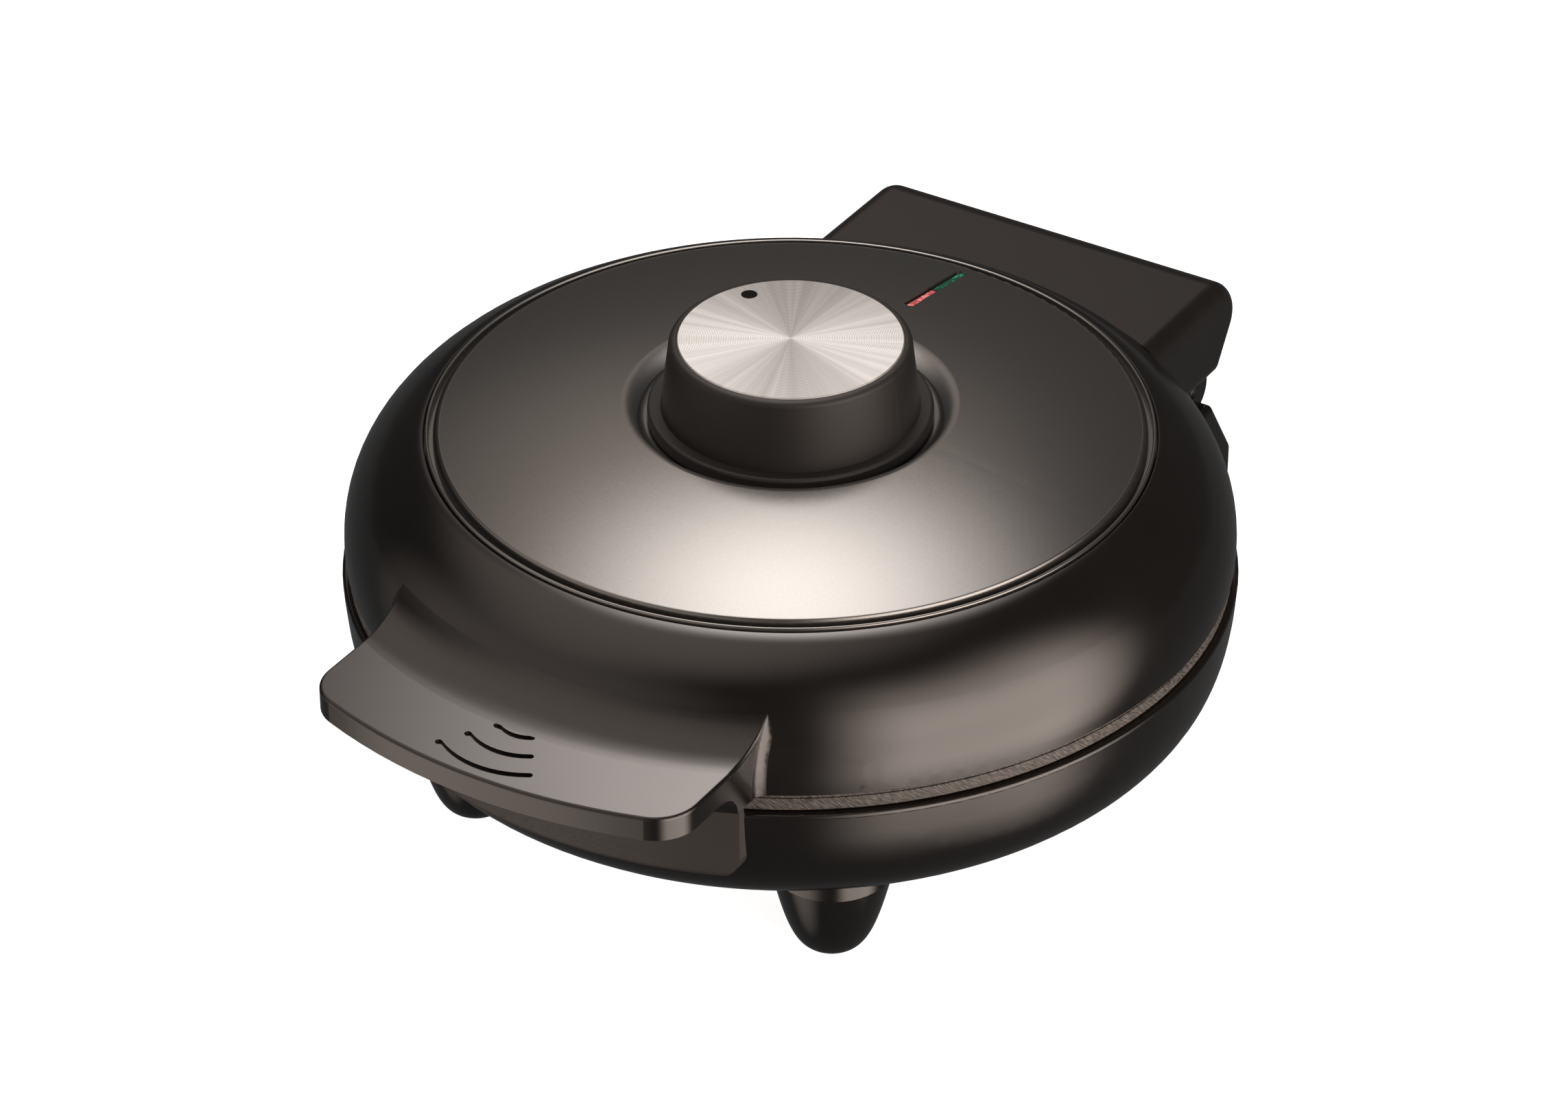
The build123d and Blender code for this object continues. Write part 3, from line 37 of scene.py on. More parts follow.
MM = 0.001
FLOW_WIDTH = 18 * MM
WAVE_WIDTH = 2.5 * MM
SKIN_WIDTH = 0.35 * MM
BASE_RIM = {"ring_radius": 108.1 * MM, "ring_height": 56.5 * MM, "size": 0.9 * MM, "rise": 1.0}
LID_SHOULDER = {"inner": 88.4 * MM, "outer": 91.5 * MM, "low": 92.3 * MM, "slopes": (0.12, 0.54)}
LID_LIP = {"ring_radius": 88.4 * MM, "ring_height": 93.3 * MM, "size": 0.4 * MM, "rise": 1.0}
GRIP_LEVEL = 78.2 * MM
GRIP_BAND = 4.0 * MM
GRIP_LEAN = (0.1, -0.08, 0)
GRIP_DISH = (-0.7, 0, 0)


def linear(code):
    """Linear RGBA of an sRGB hex colour."""
    shares = [int(code[start:start + 2], 16) / 255 for start in (0, 2, 4)]
    return tuple(s / 12.92 if s <= 0.04045 else ((s + 0.055) / 1.055) ** 2.4 for s in shares) + (1.0,)


def add_node(tree, kind, settings, inputs):
    """Adds a node, sets its options, and sets or links its inputs. A link is (node, output)."""
    node = tree.nodes.new(kind)
    for key, value in settings.items():
        setattr(node, key, value)
    for key, value in inputs.items():
        if isinstance(value, tuple) and isinstance(value[0], bpy.types.Node):
            tree.links.new(value[0].outputs[value[1]], node.inputs[key])
        else:
            node.inputs[key].default_value = value
    return node


def start_material(name, **inputs):
    """New material and its shader, with the shader's fixed values set on its own sockets."""
    material = bpy.data.materials.new(name)
    material.use_nodes = True
    shader = material.node_tree.nodes["Principled BSDF"]
    for key, value in inputs.items():
        shader.inputs[key.replace("_", " ")].default_value = value
    return material, material.node_tree, shader


def dress(material, *names):
    """Puts a material on CAD nodes."""
    for name in names:
        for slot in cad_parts[name].material_slots:
            slot.material = material


def turned_frame(tree, place):
    """Distance from the upright axis, and the way straight out from it."""
    flat = add_node(
        tree, "ShaderNodeVectorMath", {"operation": "MULTIPLY"}, {0: (place, "Object"), 1: (1, 1, 0)}
    )
    reach = add_node(tree, "ShaderNodeVectorMath", {"operation": "LENGTH"}, {0: (flat, "Vector")})
    out = add_node(tree, "ShaderNodeVectorMath", {"operation": "NORMALIZE"}, {0: (flat, "Vector")})
    return reach, out


def swap_normal(tree, normal, share, turned):
    """Puts a turned surface's own normal, worked out in the piece's frame, in place of the mesh's."""
    world_way = add_node(
        tree,
        "ShaderNodeVectorTransform",
        {"vector_type": "NORMAL", "convert_from": "OBJECT", "convert_to": "WORLD"},
        {"Vector": (turned, "Vector")},
    )
    return add_node(
        tree,
        "ShaderNodeMix",
        {"data_type": "VECTOR"},
        {"Factor": (share, "Value"), "A": normal, "B": (world_way, "Vector")},
    )


def true_round(tree, place, normal, ring_radius, ring_height, size, rise):
    """Normal of a turned round: out from the ring that its section is struck from, its rise scaled."""
    _, out = turned_frame(tree, place)
    ring = add_node(
        tree,
        "ShaderNodeVectorMath",
        {"operation": "MULTIPLY_ADD"},
        {0: (out, "Vector"), 1: (ring_radius, ring_radius, 0), 2: (0, 0, ring_height)},
    )
    off = add_node(
        tree, "ShaderNodeVectorMath", {"operation": "SUBTRACT"}, {0: (place, "Object"), 1: (ring, "Vector")}
    )
    far = add_node(tree, "ShaderNodeVectorMath", {"operation": "LENGTH"}, {0: (off, "Vector")})
    # the round ends at its own size, with a hair of room for the mesh
    on_round = add_node(
        tree, "ShaderNodeMath", {"operation": "LESS_THAN"}, {0: (far, "Value"), 1: size * 1.003}
    )
    scaled = add_node(
        tree, "ShaderNodeVectorMath", {"operation": "MULTIPLY"}, {0: (off, "Vector"), 1: (1, 1, rise)}
    )
    return swap_normal(tree, normal, on_round, scaled)


def true_slope(tree, place, normal, inner, outer, low, slopes):
    """Normal of a turned slope that eases from one pitch to another between two radii, above a level."""
    reach, out = turned_frame(tree, place)
    pitch = add_node(
        tree,
        "ShaderNodeMapRange",
        {},
        {
            "Value": (reach, "Value"),
            "From Min": inner,
            "From Max": outer,
            "To Min": slopes[0],
            "To Max": slopes[1],
        },
    )
    lean = add_node(
        tree, "ShaderNodeVectorMath", {"operation": "SCALE"}, {0: (out, "Vector"), "Scale": (pitch, "Result")}
    )
    tilted = add_node(
        tree, "ShaderNodeVectorMath", {"operation": "ADD"}, {0: (lean, "Vector"), 1: (0, 0, 1)}
    )
    parts = add_node(tree, "ShaderNodeSeparateXYZ", {}, {"Vector": (place, "Object")})
    above = add_node(tree, "ShaderNodeMath", {"operation": "GREATER_THAN"}, {0: (parts, "Z"), 1: low})
    within = add_node(
        tree,
        "ShaderNodeMath",
        {"operation": "COMPARE"},
        {0: (reach, "Value"), 1: (inner + outer) / 2, 2: (outer - inner) / 2},
    )
    share = add_node(
        tree, "ShaderNodeMath", {"operation": "MULTIPLY"}, {0: (above, "Value"), 1: (within, "Value")}
    )
    return swap_normal(tree, normal, share, tilted)


for finish, low, high, names in (
    ("moulded_gloss_abs", 0.15, 0.2, ("base_shell", "lid_shell")),
    (
        "polished_foot_abs",
        0.08,
        0.12,
        ("foot_front_left", "foot_front_right", "foot_rear_left", "foot_rear_right"),
    ),
    ("satin_cover_abs", 0.26, 0.32, ("lid_hinge_block",)),
):
    gloss, tree, shader = start_material(finish, IOR=1.53)
    place = add_node(tree, "ShaderNodeTexCoord", {}, {})
    # flow clouds of faint warm and cool black
    flow = add_node(
        tree,
        "ShaderNodeTexNoise",
        {},
        {"Vector": (place, "Object"), "Scale": 1 / FLOW_WIDTH, "Detail": 3.0},
    )
    tone = add_node(
        tree,
        "ShaderNodeMix",
        {"data_type": "RGBA"},
        {"Factor": (flow, "Fac"), "A": linear("0e0d0c"), "B": linear("141211")},
    )
    tree.links.new(tone.outputs["Result"], shader.inputs["Base Color"])
    sheen = add_node(
        tree, "ShaderNodeMapRange", {}, {"Value": (flow, "Fac"), "To Min": low, "To Max": high}
    )
    tree.links.new(sheen.outputs["Result"], shader.inputs["Roughness"])
    surface = add_node(tree, "ShaderNodeNewGeometry", {}, {})
    rim = true_round(tree, place, (surface, "Normal"), **BASE_RIM)
    shoulder = true_slope(tree, place, (rim, "Result"), **LID_SHOULDER)
    lip = true_round(tree, place, (shoulder, "Result"), **LID_LIP)
    # the grip's top and its run-up to the shell lean about 7 degrees to the front right, more at the far end
    parts = add_node(tree, "ShaderNodeSeparateXYZ", {}, {"Vector": (place, "Object")})
    own_way = add_node(
        tree,
        "ShaderNodeVectorTransform",
        {"vector_type": "NORMAL", "convert_from": "WORLD", "convert_to": "OBJECT"},
        {"Vector": (surface, "Normal")},
    )
    own_parts = add_node(tree, "ShaderNodeSeparateXYZ", {}, {"Vector": (own_way, "Vector")})
    facing_up = add_node(
        tree,
        "ShaderNodeMapRange",
        {"interpolation_type": "SMOOTHSTEP"},
        {"Value": (own_parts, "Z"), "From Min": 0.75, "From Max": 0.97},
    )
    at_grip = add_node(
        tree, "ShaderNodeMath", {"operation": "COMPARE"}, {0: (parts, "Z"), 1: GRIP_LEVEL, 2: GRIP_BAND}
    )
    on_grip = add_node(
        tree, "ShaderNodeMath", {"operation": "MULTIPLY"}, {0: (facing_up, "Result"), 1: (at_grip, "Value")}
    )
    dished = add_node(
        tree,
        "ShaderNodeVectorMath",
        {"operation": "MULTIPLY_ADD"},
        {0: (place, "Object"), 1: GRIP_DISH, 2: GRIP_LEAN},
    )
    tilt = add_node(
        tree, "ShaderNodeVectorMath", {"operation": "SCALE"}, {0: (dished, "Vector"), "Scale": (on_grip, "Value")}
    )
    world_tilt = add_node(
        tree,
        "ShaderNodeVectorTransform",
        {"vector_type": "VECTOR", "convert_from": "OBJECT", "convert_to": "WORLD"},
        {"Vector": (tilt, "Vector")},
    )
    tilted = add_node(
        tree, "ShaderNodeVectorMath", {"operation": "ADD"}, {0: (lip, "Result"), 1: (world_tilt, "Vector")}
    )
    lean = add_node(tree, "ShaderNodeVectorMath", {"operation": "NORMALIZE"}, {0: (tilted, "Vector")})
    # the tool's waviness, and a fine skin over it
    wave = add_node(
        tree,
        "ShaderNodeTexNoise",
        {},
        {"Vector": (place, "Object"), "Scale": 1 / WAVE_WIDTH, "Detail": 1.0},
    )
    wavy = add_node(
        tree,
        "ShaderNodeBump",
        {},
        {"Height": (wave, "Fac"), "Normal": (lean, "Vector"), "Strength": 0.03, "Distance": 0.05 * MM},
    )
    skin = add_node(
        tree,
        "ShaderNodeTexNoise",
        {},
        {"Vector": (place, "Object"), "Scale": 1 / SKIN_WIDTH, "Detail": 1.0},
    )
    fine = add_node(
        tree,
        "ShaderNodeBump",
        {},
        {"Height": (skin, "Fac"), "Normal": (wavy, "Normal"), "Strength": 0.04, "Distance": 0.02 * MM},
    )
    tree.links.new(fine.outputs["Normal"], shader.inputs["Normal"])
    dress(gloss, *names)

# Base handle and cord gland: black polypropylene, moulded in a spark-eroded tool.
# The tool leaves a fine grain of pits that kills the gloss.
# Two pegs hold the handle to the base shell, and the gland is pushed into its seat at the back.

PIT_WIDTH = 0.55 * MM
CLOUD_WIDTH = 9 * MM
grain, tree, shader = start_material("grained_polypropylene", IOR=1.49)
place = add_node(tree, "ShaderNodeTexCoord", {}, {})
pits = add_node(tree, "ShaderNodeTexVoronoi", {}, {"Vector": (place, "Object"), "Scale": 1 / PIT_WIDTH})
cloud = add_node(
    tree, "ShaderNodeTexNoise", {}, {"Vector": (place, "Object"), "Scale": 1 / CLOUD_WIDTH, "Detail": 4.0}
)
tone = add_node(
    tree,
    "ShaderNodeMix",
    {"data_type": "RGBA"},
    {"Factor": (cloud, "Fac"), "A": linear("1a1817"), "B": linear("252221")},
)
tree.links.new(tone.outputs["Result"], shader.inputs["Base Color"])
rough = add_node(
    tree, "ShaderNodeMapRange", {}, {"Value": (pits, "Distance"), "To Min": 0.48, "To Max": 0.62}
)
tree.links.new(rough.outputs["Result"], shader.inputs["Roughness"])
dents = add_node(
    tree, "ShaderNodeBump", {}, {"Height": (pits, "Distance"), "Strength": 0.35, "Distance": 0.08 * MM}
)
tree.links.new(dents.outputs["Normal"], shader.inputs["Normal"])
dress(grain, "base_handle", "cord_gland")

# Bezels: rings of glass-filled heat-proof polyamide that carry the baking plates.
# Fibres at the surface give a dull dark grey with slanting scratches.
# The upper one, screwed into the lid, shows as a strip under the lid's edge.

BAND_RADIUS = 107.4 * MM
SCRATCH_LENGTH = 2.4 * MM
SCRATCH_WIDTH = 0.35 * MM
SCRATCH_LEAN = math.radians(40)
heatproof, tree, shader = start_material("glass_filled_polyamide", IOR=1.5)
place = add_node(tree, "ShaderNodeTexCoord", {}, {})
parts = add_node(tree, "ShaderNodeSeparateXYZ", {}, {"Vector": (place, "Object")})
bearing = add_node(tree, "ShaderNodeMath", {"operation": "ARCTAN2"}, {0: (parts, "X"), 1: (parts, "Y")})
# the strip is rolled flat: along the ring, and across it by height and radius together
along = add_node(tree, "ShaderNodeMath", {"operation": "MULTIPLY"}, {0: (bearing, "Value"), 1: BAND_RADIUS})
reach, _ = turned_frame(tree, place)
across = add_node(tree, "ShaderNodeMath", {"operation": "ADD"}, {0: (reach, "Value"), 1: (parts, "Z")})
strip = add_node(tree, "ShaderNodeCombineXYZ", {}, {"X": (along, "Value"), "Y": (across, "Value")})
slant = add_node(
    tree, "ShaderNodeMapping", {}, {"Vector": (strip, "Vector"), "Rotation": (0, 0, -SCRATCH_LEAN)}
)
drawn = add_node(
    tree,
    "ShaderNodeVectorMath",
    {"operation": "MULTIPLY"},
    {0: (slant, "Vector"), 1: (1 / SCRATCH_LENGTH, 1 / SCRATCH_WIDTH, 0)},
)
scratch = add_node(tree, "ShaderNodeTexNoise", {}, {"Vector": (drawn, "Vector"), "Scale": 1.0, "Detail": 3.0})
ramp = add_node(tree, "ShaderNodeValToRGB", {}, {"Fac": (scratch, "Fac")})
ramp.color_ramp.elements[0].position = 0.4
ramp.color_ramp.elements[0].color = linear("1d1b1a")
ramp.color_ramp.elements[1].position = 0.7
ramp.color_ramp.elements[1].color = linear("6b6763")
tree.links.new(ramp.outputs["Color"], shader.inputs["Base Color"])
rough = add_node(tree, "ShaderNodeMapRange", {}, {"Value": (scratch, "Fac"), "To Min": 0.5, "To Max": 0.7})
tree.links.new(rough.outputs["Result"], shader.inputs["Roughness"])
dents = add_node(
    tree, "ShaderNodeBump", {}, {"Height": (scratch, "Fac"), "Strength": 0.4, "Distance": 0.1 * MM}
)
tree.links.new(dents.outputs["Normal"], shader.inputs["Normal"])
dress(heatproof, "base_bezel", "lid_bezel")

# Baking plates: die-cast aluminium under a sprayed dark non-stick coat, clipped into the bezels.
# The coat is a satin black with pale flakes about 0.4 mm wide, 1.4 mm apart, and a faint orange peel.

FLAKE_SPACING = 1.4 * MM
PEEL_WIDTH = 0.8 * MM
nonstick, tree, shader = start_material("sprayed_nonstick_coat", IOR=1.38)
place = add_node(tree, "ShaderNodeTexCoord", {}, {})
flake = add_node(tree, "ShaderNodeTexVoronoi", {}, {"Vector": (place, "Object"), "Scale": 1 / FLAKE_SPACING})
ramp = add_node(tree, "ShaderNodeValToRGB", {}, {"Fac": (flake, "Distance")})
ramp.color_ramp.elements[0].position = 0.1
ramp.color_ramp.elements[0].color = linear("6a6764")
ramp.color_ramp.elements[1].position = 0.16
ramp.color_ramp.elements[1].color = linear("242221")
tree.links.new(ramp.outputs["Color"], shader.inputs["Base Color"])
peel = add_node(
    tree, "ShaderNodeTexNoise", {}, {"Vector": (place, "Object"), "Scale": 1 / PEEL_WIDTH, "Detail": 2.0}
)
rough = add_node(tree, "ShaderNodeMapRange", {}, {"Value": (peel, "Fac"), "To Min": 0.3, "To Max": 0.46})
tree.links.new(rough.outputs["Result"], shader.inputs["Roughness"])
dents = add_node(tree, "ShaderNodeBump", {}, {"Height": (peel, "Fac"), "Strength": 0.15, "Distance": 0.05 * MM})
tree.links.new(dents.outputs["Normal"], shader.inputs["Normal"])
dress(nonstick, "lower_plate", "upper_plate")

# Heaters: nickel-steel tubes bent to an open ring and held against the plates by the reflectors.
# Heat browns them in soft clouds.

STAIN_WIDTH = 6 * MM
sheath, tree, shader = start_material("browned_heater_sheath", Metallic=0.9, Roughness=0.5)
place = add_node(tree, "ShaderNodeTexCoord", {}, {})
stain = add_node(
    tree, "ShaderNodeTexNoise", {}, {"Vector": (place, "Object"), "Scale": 1 / STAIN_WIDTH, "Detail": 4.0}
)
tone = add_node(
    tree,
    "ShaderNodeMix",
    {"data_type": "RGBA"},
    {"Factor": (stain, "Fac"), "A": linear("6b5d52"), "B": linear("9a8f86")},
)
tree.links.new(tone.outputs["Result"], shader.inputs["Base Color"])
dress(sheath, "lower_heating_element", "upper_heating_element")

# Reflectors of pressed aluminium sheet, and clips, strap, pin, fuse, shaft and screws of zinc-plated steel.
# Rolling and plating leave a pale metal with fine streaks, 0.4 mm apart and 20 times as long.
# Screws into the plates' bosses hold the reflectors, and screws into the bezels hold the clips.

STREAK_WIDTH = 0.4 * MM
for metal, names in (
    ("rolled_aluminium_sheet", ("lower_reflector", "upper_reflector")),
    (
        "zinc_plated_steel",
        (
            "lower_plate_clips", "upper_plate_clips", "lower_clip_screws", "upper_clip_screws",
            "lower_reflector_screws", "upper_reflector_screws", "base_screws", "foot_screws", "hinge_pin",
            "terminal_screw", "thermal_fuse", "fuse_clip", "lid_screws", "hinge_block_screws", "panel_screws",
            "thermostat_bracket", "thermostat_screws", "thermostat_shaft",
        ),
    ),
):
    streaked, tree, shader = start_material(metal, Metallic=1.0)
    place = add_node(tree, "ShaderNodeTexCoord", {}, {})
    stretch = add_node(tree, "ShaderNodeMapping", {}, {"Vector": (place, "Object"), "Scale": (1.0, 1 / 20, 1.0)})
    streak = add_node(
        tree, "ShaderNodeTexNoise", {}, {"Vector": (stretch, "Vector"), "Scale": 1 / STREAK_WIDTH, "Detail": 2.0}
    )
    tone = add_node(
        tree,
        "ShaderNodeMix",
        {"data_type": "RGBA"},
        {"Factor": (streak, "Fac"), "A": linear("b4b3b0"), "B": linear("d4d3d0")},
    )
    tree.links.new(tone.outputs["Result"], shader.inputs["Base Color"])
    rough = add_node(tree, "ShaderNodeMapRange", {}, {"Value": (streak, "Fac"), "To Min": 0.28, "To Max": 0.44})
    tree.links.new(rough.outputs["Result"], shader.inputs["Roughness"])
    dress(streaked, *names)

# Terminal block, thermostat and lamp holder: cream phenolic, pressed in hot moulds.
# The filler shows as faint pale flecks.
# A screw holds the block, a steel strap the thermostat, and the holder sits behind the lenses.

FLECK_WIDTH = 1.5 * MM
phenolic, tree, shader = start_material("cream_phenolic", Roughness=0.45, IOR=1.55)
place = add_node(tree, "ShaderNodeTexCoord", {}, {})
fleck = add_node(
    tree, "ShaderNodeTexNoise", {}, {"Vector": (place, "Object"), "Scale": 1 / FLECK_WIDTH, "Detail": 5.0}
)
tone = add_node(
    tree,
    "ShaderNodeMix",
    {"data_type": "RGBA"},
    {"Factor": (fleck, "Fac"), "A": linear("cfc7b4"), "B": linear("e6dfce")},
)
tree.links.new(tone.outputs["Result"], shader.inputs["Base Color"])
dress(phenolic, "terminal_block", "thermostat", "lamp_holder")

# Wires: stranded copper in sleeves of braided glass yarn, clamped in the terminal block.
# The braid shows as pale, slightly uneven bands about 1.6 mm apart.

BRAID_PITCH = math.pi / 2 * MM
braid, tree, shader = start_material("glass_braid_sleeve", Roughness=0.8)
place = add_node(tree, "ShaderNodeTexCoord", {}, {})
# a wave's bands lie pi / 10 apart at scale 1
weave = add_node(
    tree,
    "ShaderNodeTexWave",
    {},
    {"Vector": (place, "Object"), "Scale": math.pi / 10 / BRAID_PITCH, "Distortion": 2.0},
)
tone = add_node(
    tree,
    "ShaderNodeMix",
    {"data_type": "RGBA"},
    {"Factor": (weave, "Fac"), "A": linear("a39a8d"), "B": linear("cbc3b6")},
)
tree.links.new(tone.outputs["Result"], shader.inputs["Base Color"])
dress(braid, "base_wires")

# Pads under the feet: black nitrile rubber, each moulded with a stem that is pushed up into its foot.
# Handling leaves a dull, faintly dusty bloom.

BLOOM_WIDTH = 1.2 * MM
nitrile, tree, shader = start_material("nitrile_rubber", Roughness=0.8, IOR=1.52)
place = add_node(tree, "ShaderNodeTexCoord", {}, {})
bloom = add_node(
    tree, "ShaderNodeTexNoise", {}, {"Vector": (place, "Object"), "Scale": 1 / BLOOM_WIDTH, "Detail": 4.0}
)
tone = add_node(
    tree,
    "ShaderNodeMix",
    {"data_type": "RGBA"},
    {"Factor": (bloom, "Fac"), "A": linear("191818"), "B": linear("2d2b2a")},
)
tree.links.new(tone.outputs["Result"], shader.inputs["Base Color"])
dress(nitrile, "foot_pad_front_left", "foot_pad_front_right", "foot_pad_rear_left", "foot_pad_rear_right")

# Lid panel: a pressed steel disc in satin gunmetal paint with fine metal flake, screwed on from inside the lid.
# The flake makes it catch the light like a metal, softened by the satin coat.
# Its edge turns down sharply, and the knob's well eases into the dome.

METAL_FLAKE = 0.5 * MM
PANEL_EDGE = {"ring_radius": 84.3 * MM, "ring_height": 93.4 * MM, "size": 1.5 * MM, "rise": 0.25}
PANEL_WELL = {"inner": 35.3 * MM, "outer": 40.6 * MM, "low": 97.2 * MM, "slopes": (-0.85, 0.06)}
gunmetal, tree, shader = start_material("satin_gunmetal_paint", Metallic=0.9)
place = add_node(tree, "ShaderNodeTexCoord", {}, {})
flake = add_node(
    tree, "ShaderNodeTexNoise", {}, {"Vector": (place, "Object"), "Scale": 1 / METAL_FLAKE, "Detail": 2.0}
)
tone = add_node(
    tree,
    "ShaderNodeMix",
    {"data_type": "RGBA"},
    {"Factor": (flake, "Fac"), "A": linear("6b6b6a"), "B": linear("767675")},
)
tree.links.new(tone.outputs["Result"], shader.inputs["Base Color"])
rough = add_node(tree, "ShaderNodeMapRange", {}, {"Value": (flake, "Fac"), "To Min": 0.22, "To Max": 0.27})
tree.links.new(rough.outputs["Result"], shader.inputs["Roughness"])
surface = add_node(tree, "ShaderNodeNewGeometry", {}, {})
edge = true_round(tree, place, (surface, "Normal"), **PANEL_EDGE)
well = true_slope(tree, place, (edge, "Result"), **PANEL_WELL)
dents = add_node(
    tree,
    "ShaderNodeBump",
    {},
    {"Height": (flake, "Fac"), "Normal": (well, "Result"), "Strength": 0.05, "Distance": 0.01 * MM},
)
tree.links.new(dents.outputs["Normal"], shader.inputs["Normal"])
dress(gunmetal, "lid_panel")

# Bead round the panel's edge: the flange's rim is rolled over into a half-round, 0.86 mm wide.
# It is of one sheet with the panel, in the same paint, and draws a bright line round the panel.

BEAD_CIRCLE = 87.3 * MM
BEAD_RADIUS = 0.43 * MM
BEAD_LEVEL = 94.0 * MM
BEAD_FOOT = 1.2 * MM
bpy.ops.object.select_all(action="DESELECT")
bpy.ops.mesh.primitive_torus_add(
    major_radius=BEAD_CIRCLE,
    minor_radius=BEAD_RADIUS,
    major_segments=360,
    minor_segments=24,
    location=(0, 0, BEAD_LEVEL),
)
rolled = bpy.context.object
rolled.name = "panel_bead"
bpy.ops.object.transform_apply(location=True, rotation=True, scale=True)
bpy.ops.object.mode_set(mode="EDIT")
bpy.ops.mesh.select_all(action="SELECT")
bpy.ops.mesh.bisect(plane_co=(0, 0, BEAD_LEVEL), plane_no=(0, 0, 1), clear_inner=True)
bpy.ops.mesh.select_all(action="SELECT")
bpy.ops.mesh.region_to_loop()
bpy.ops.mesh.extrude_region()
bpy.ops.transform.translate(value=(0, 0, -BEAD_FOOT))
bpy.ops.mesh.bridge_edge_loops()
bpy.ops.mesh.select_all(action="SELECT")
bpy.ops.mesh.normals_make_consistent(inside=False)
bpy.ops.object.mode_set(mode="OBJECT")
bpy.ops.object.shade_smooth_by_angle(angle=math.radians(35))
rolled.data.materials.append(gunmetal)
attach(rolled, "lid")

# Indicator lenses: tinted polycarbonate, moulded with a pebbled back; the lamp's light through it is painted as
# pale spots.
# A flange behind the panel holds each in the slot, whose shadow is painted on the lens as a dark border round a
# bright core.

PEBBLE = 1.1 * MM
# where the painted slot shadow begins and is full, across and along each lens
SLOT_SHADE_SIDES = (0.7 * MM, 0.85 * MM)
SLOT_SHADE_ENDS = (6.3 * MM, 6.6 * MM)
for name, middle, dark, light in (
    ("red_lens", 61.3 * MM, "a0444a", "eea29c"),
    ("green_lens", 75.1 * MM, "0a3f30", "2c9a74"),
):
    lens, tree, shader = start_material(
        name.replace("lens", "tinted_polycarbonate"), Roughness=0.3, IOR=1.58
    )
    place = add_node(tree, "ShaderNodeTexCoord", {}, {})
    pebbles = add_node(tree, "ShaderNodeTexVoronoi", {}, {"Vector": (place, "Object"), "Scale": 1 / PEBBLE})
    # the pebbles are real, and their pale spots are painted glow of the lamp's light coming through
    pebble_painted_glow = add_node(
        tree, "ShaderNodeMapRange", {}, {"Value": (pebbles, "Distance"), "From Min": 0.55, "From Max": 0.1}
    )
    tone = add_node(
        tree,
        "ShaderNodeMix",
        {"data_type": "RGBA"},
        {"Factor": (pebble_painted_glow, "Result"), "A": linear(dark), "B": linear(light)},
    )
    # painted shadow of the slot: the lens turns near black at its sides and ends
    centred = add_node(
        tree, "ShaderNodeVectorMath", {"operation": "SUBTRACT"}, {0: (place, "Object"), 1: (0, middle, 0)}
    )
    inward = add_node(tree, "ShaderNodeVectorMath", {"operation": "ABSOLUTE"}, {0: (centred, "Vector")})
    parts = add_node(tree, "ShaderNodeSeparateXYZ", {}, {"Vector": (inward, "Vector")})
    side = add_node(
        tree,
        "ShaderNodeMapRange",
        {},
        {"Value": (parts, "X"), "From Min": SLOT_SHADE_SIDES[0], "From Max": SLOT_SHADE_SIDES[1]},
    )
    end = add_node(
        tree,
        "ShaderNodeMapRange",
        {},
        {"Value": (parts, "Y"), "From Min": SLOT_SHADE_ENDS[0], "From Max": SLOT_SHADE_ENDS[1]},
    )
    painted_slot_shade = add_node(
        tree, "ShaderNodeMath", {"operation": "MAXIMUM"}, {0: (side, "Result"), 1: (end, "Result")}
    )
    shade = add_node(
        tree,
        "ShaderNodeMix",
        {"data_type": "RGBA"},
        {"Factor": (painted_slot_shade, "Value"), "A": (tone, "Result"), "B": linear("0b0a0a")},
    )
    tree.links.new(shade.outputs["Result"], shader.inputs["Base Color"])
    dress(lens, name)

# Lamps behind the lenses: small drawn glass tubes with warm, faintly hazy walls.
# They lie in the lamp holder, hidden by the panel.

HAZE_WIDTH = 2 * MM
glass, tree, shader = start_material("lamp_glass", Roughness=0.1, IOR=1.5, Alpha=0.6)
place = add_node(tree, "ShaderNodeTexCoord", {}, {})
haze = add_node(tree, "ShaderNodeTexNoise", {}, {"Vector": (place, "Object"), "Scale": 1 / HAZE_WIDTH})
tone = add_node(
    tree,
    "ShaderNodeMix",
    {"data_type": "RGBA"},
    {"Factor": (haze, "Fac"), "A": linear("e8ddc8"), "B": linear("f6f0e4")},
)
tree.links.new(tone.outputs["Result"], shader.inputs["Base Color"])
dress(glass, "indicator_lamps")

# Knob body: black ABS, moulded in a finely eroded tool that leaves a satin skin.
# Its pointer pip, which stands in the cap's hole, is polished and dished to one side.
# The body is pushed onto the thermostat's shaft.

EROSION_WIDTH = 0.6 * MM
PIP_SPOT = (-19.17 * MM, 11.98 * MM, 118 * MM)
PIP_RADIUS = 2.2 * MM
PIP_FACING = (-0.25, -0.1, 0.96)
satin, tree, shader = start_material("satin_knob_abs", IOR=1.4)
place = add_node(tree, "ShaderNodeTexCoord", {}, {})
skin = add_node(
    tree, "ShaderNodeTexNoise", {}, {"Vector": (place, "Object"), "Scale": 1 / EROSION_WIDTH, "Detail": 3.0}
)
tone = add_node(
    tree,
    "ShaderNodeMix",
    {"data_type": "RGBA"},
    {"Factor": (skin, "Fac"), "A": linear("0c0b0a"), "B": linear("141211")},
)
tree.links.new(tone.outputs["Result"], shader.inputs["Base Color"])
off = add_node(tree, "ShaderNodeVectorMath", {"operation": "DISTANCE"}, {0: (place, "Object"), 1: PIP_SPOT})
on_pip = add_node(tree, "ShaderNodeMath", {"operation": "LESS_THAN"}, {0: (off, "Value"), 1: PIP_RADIUS})
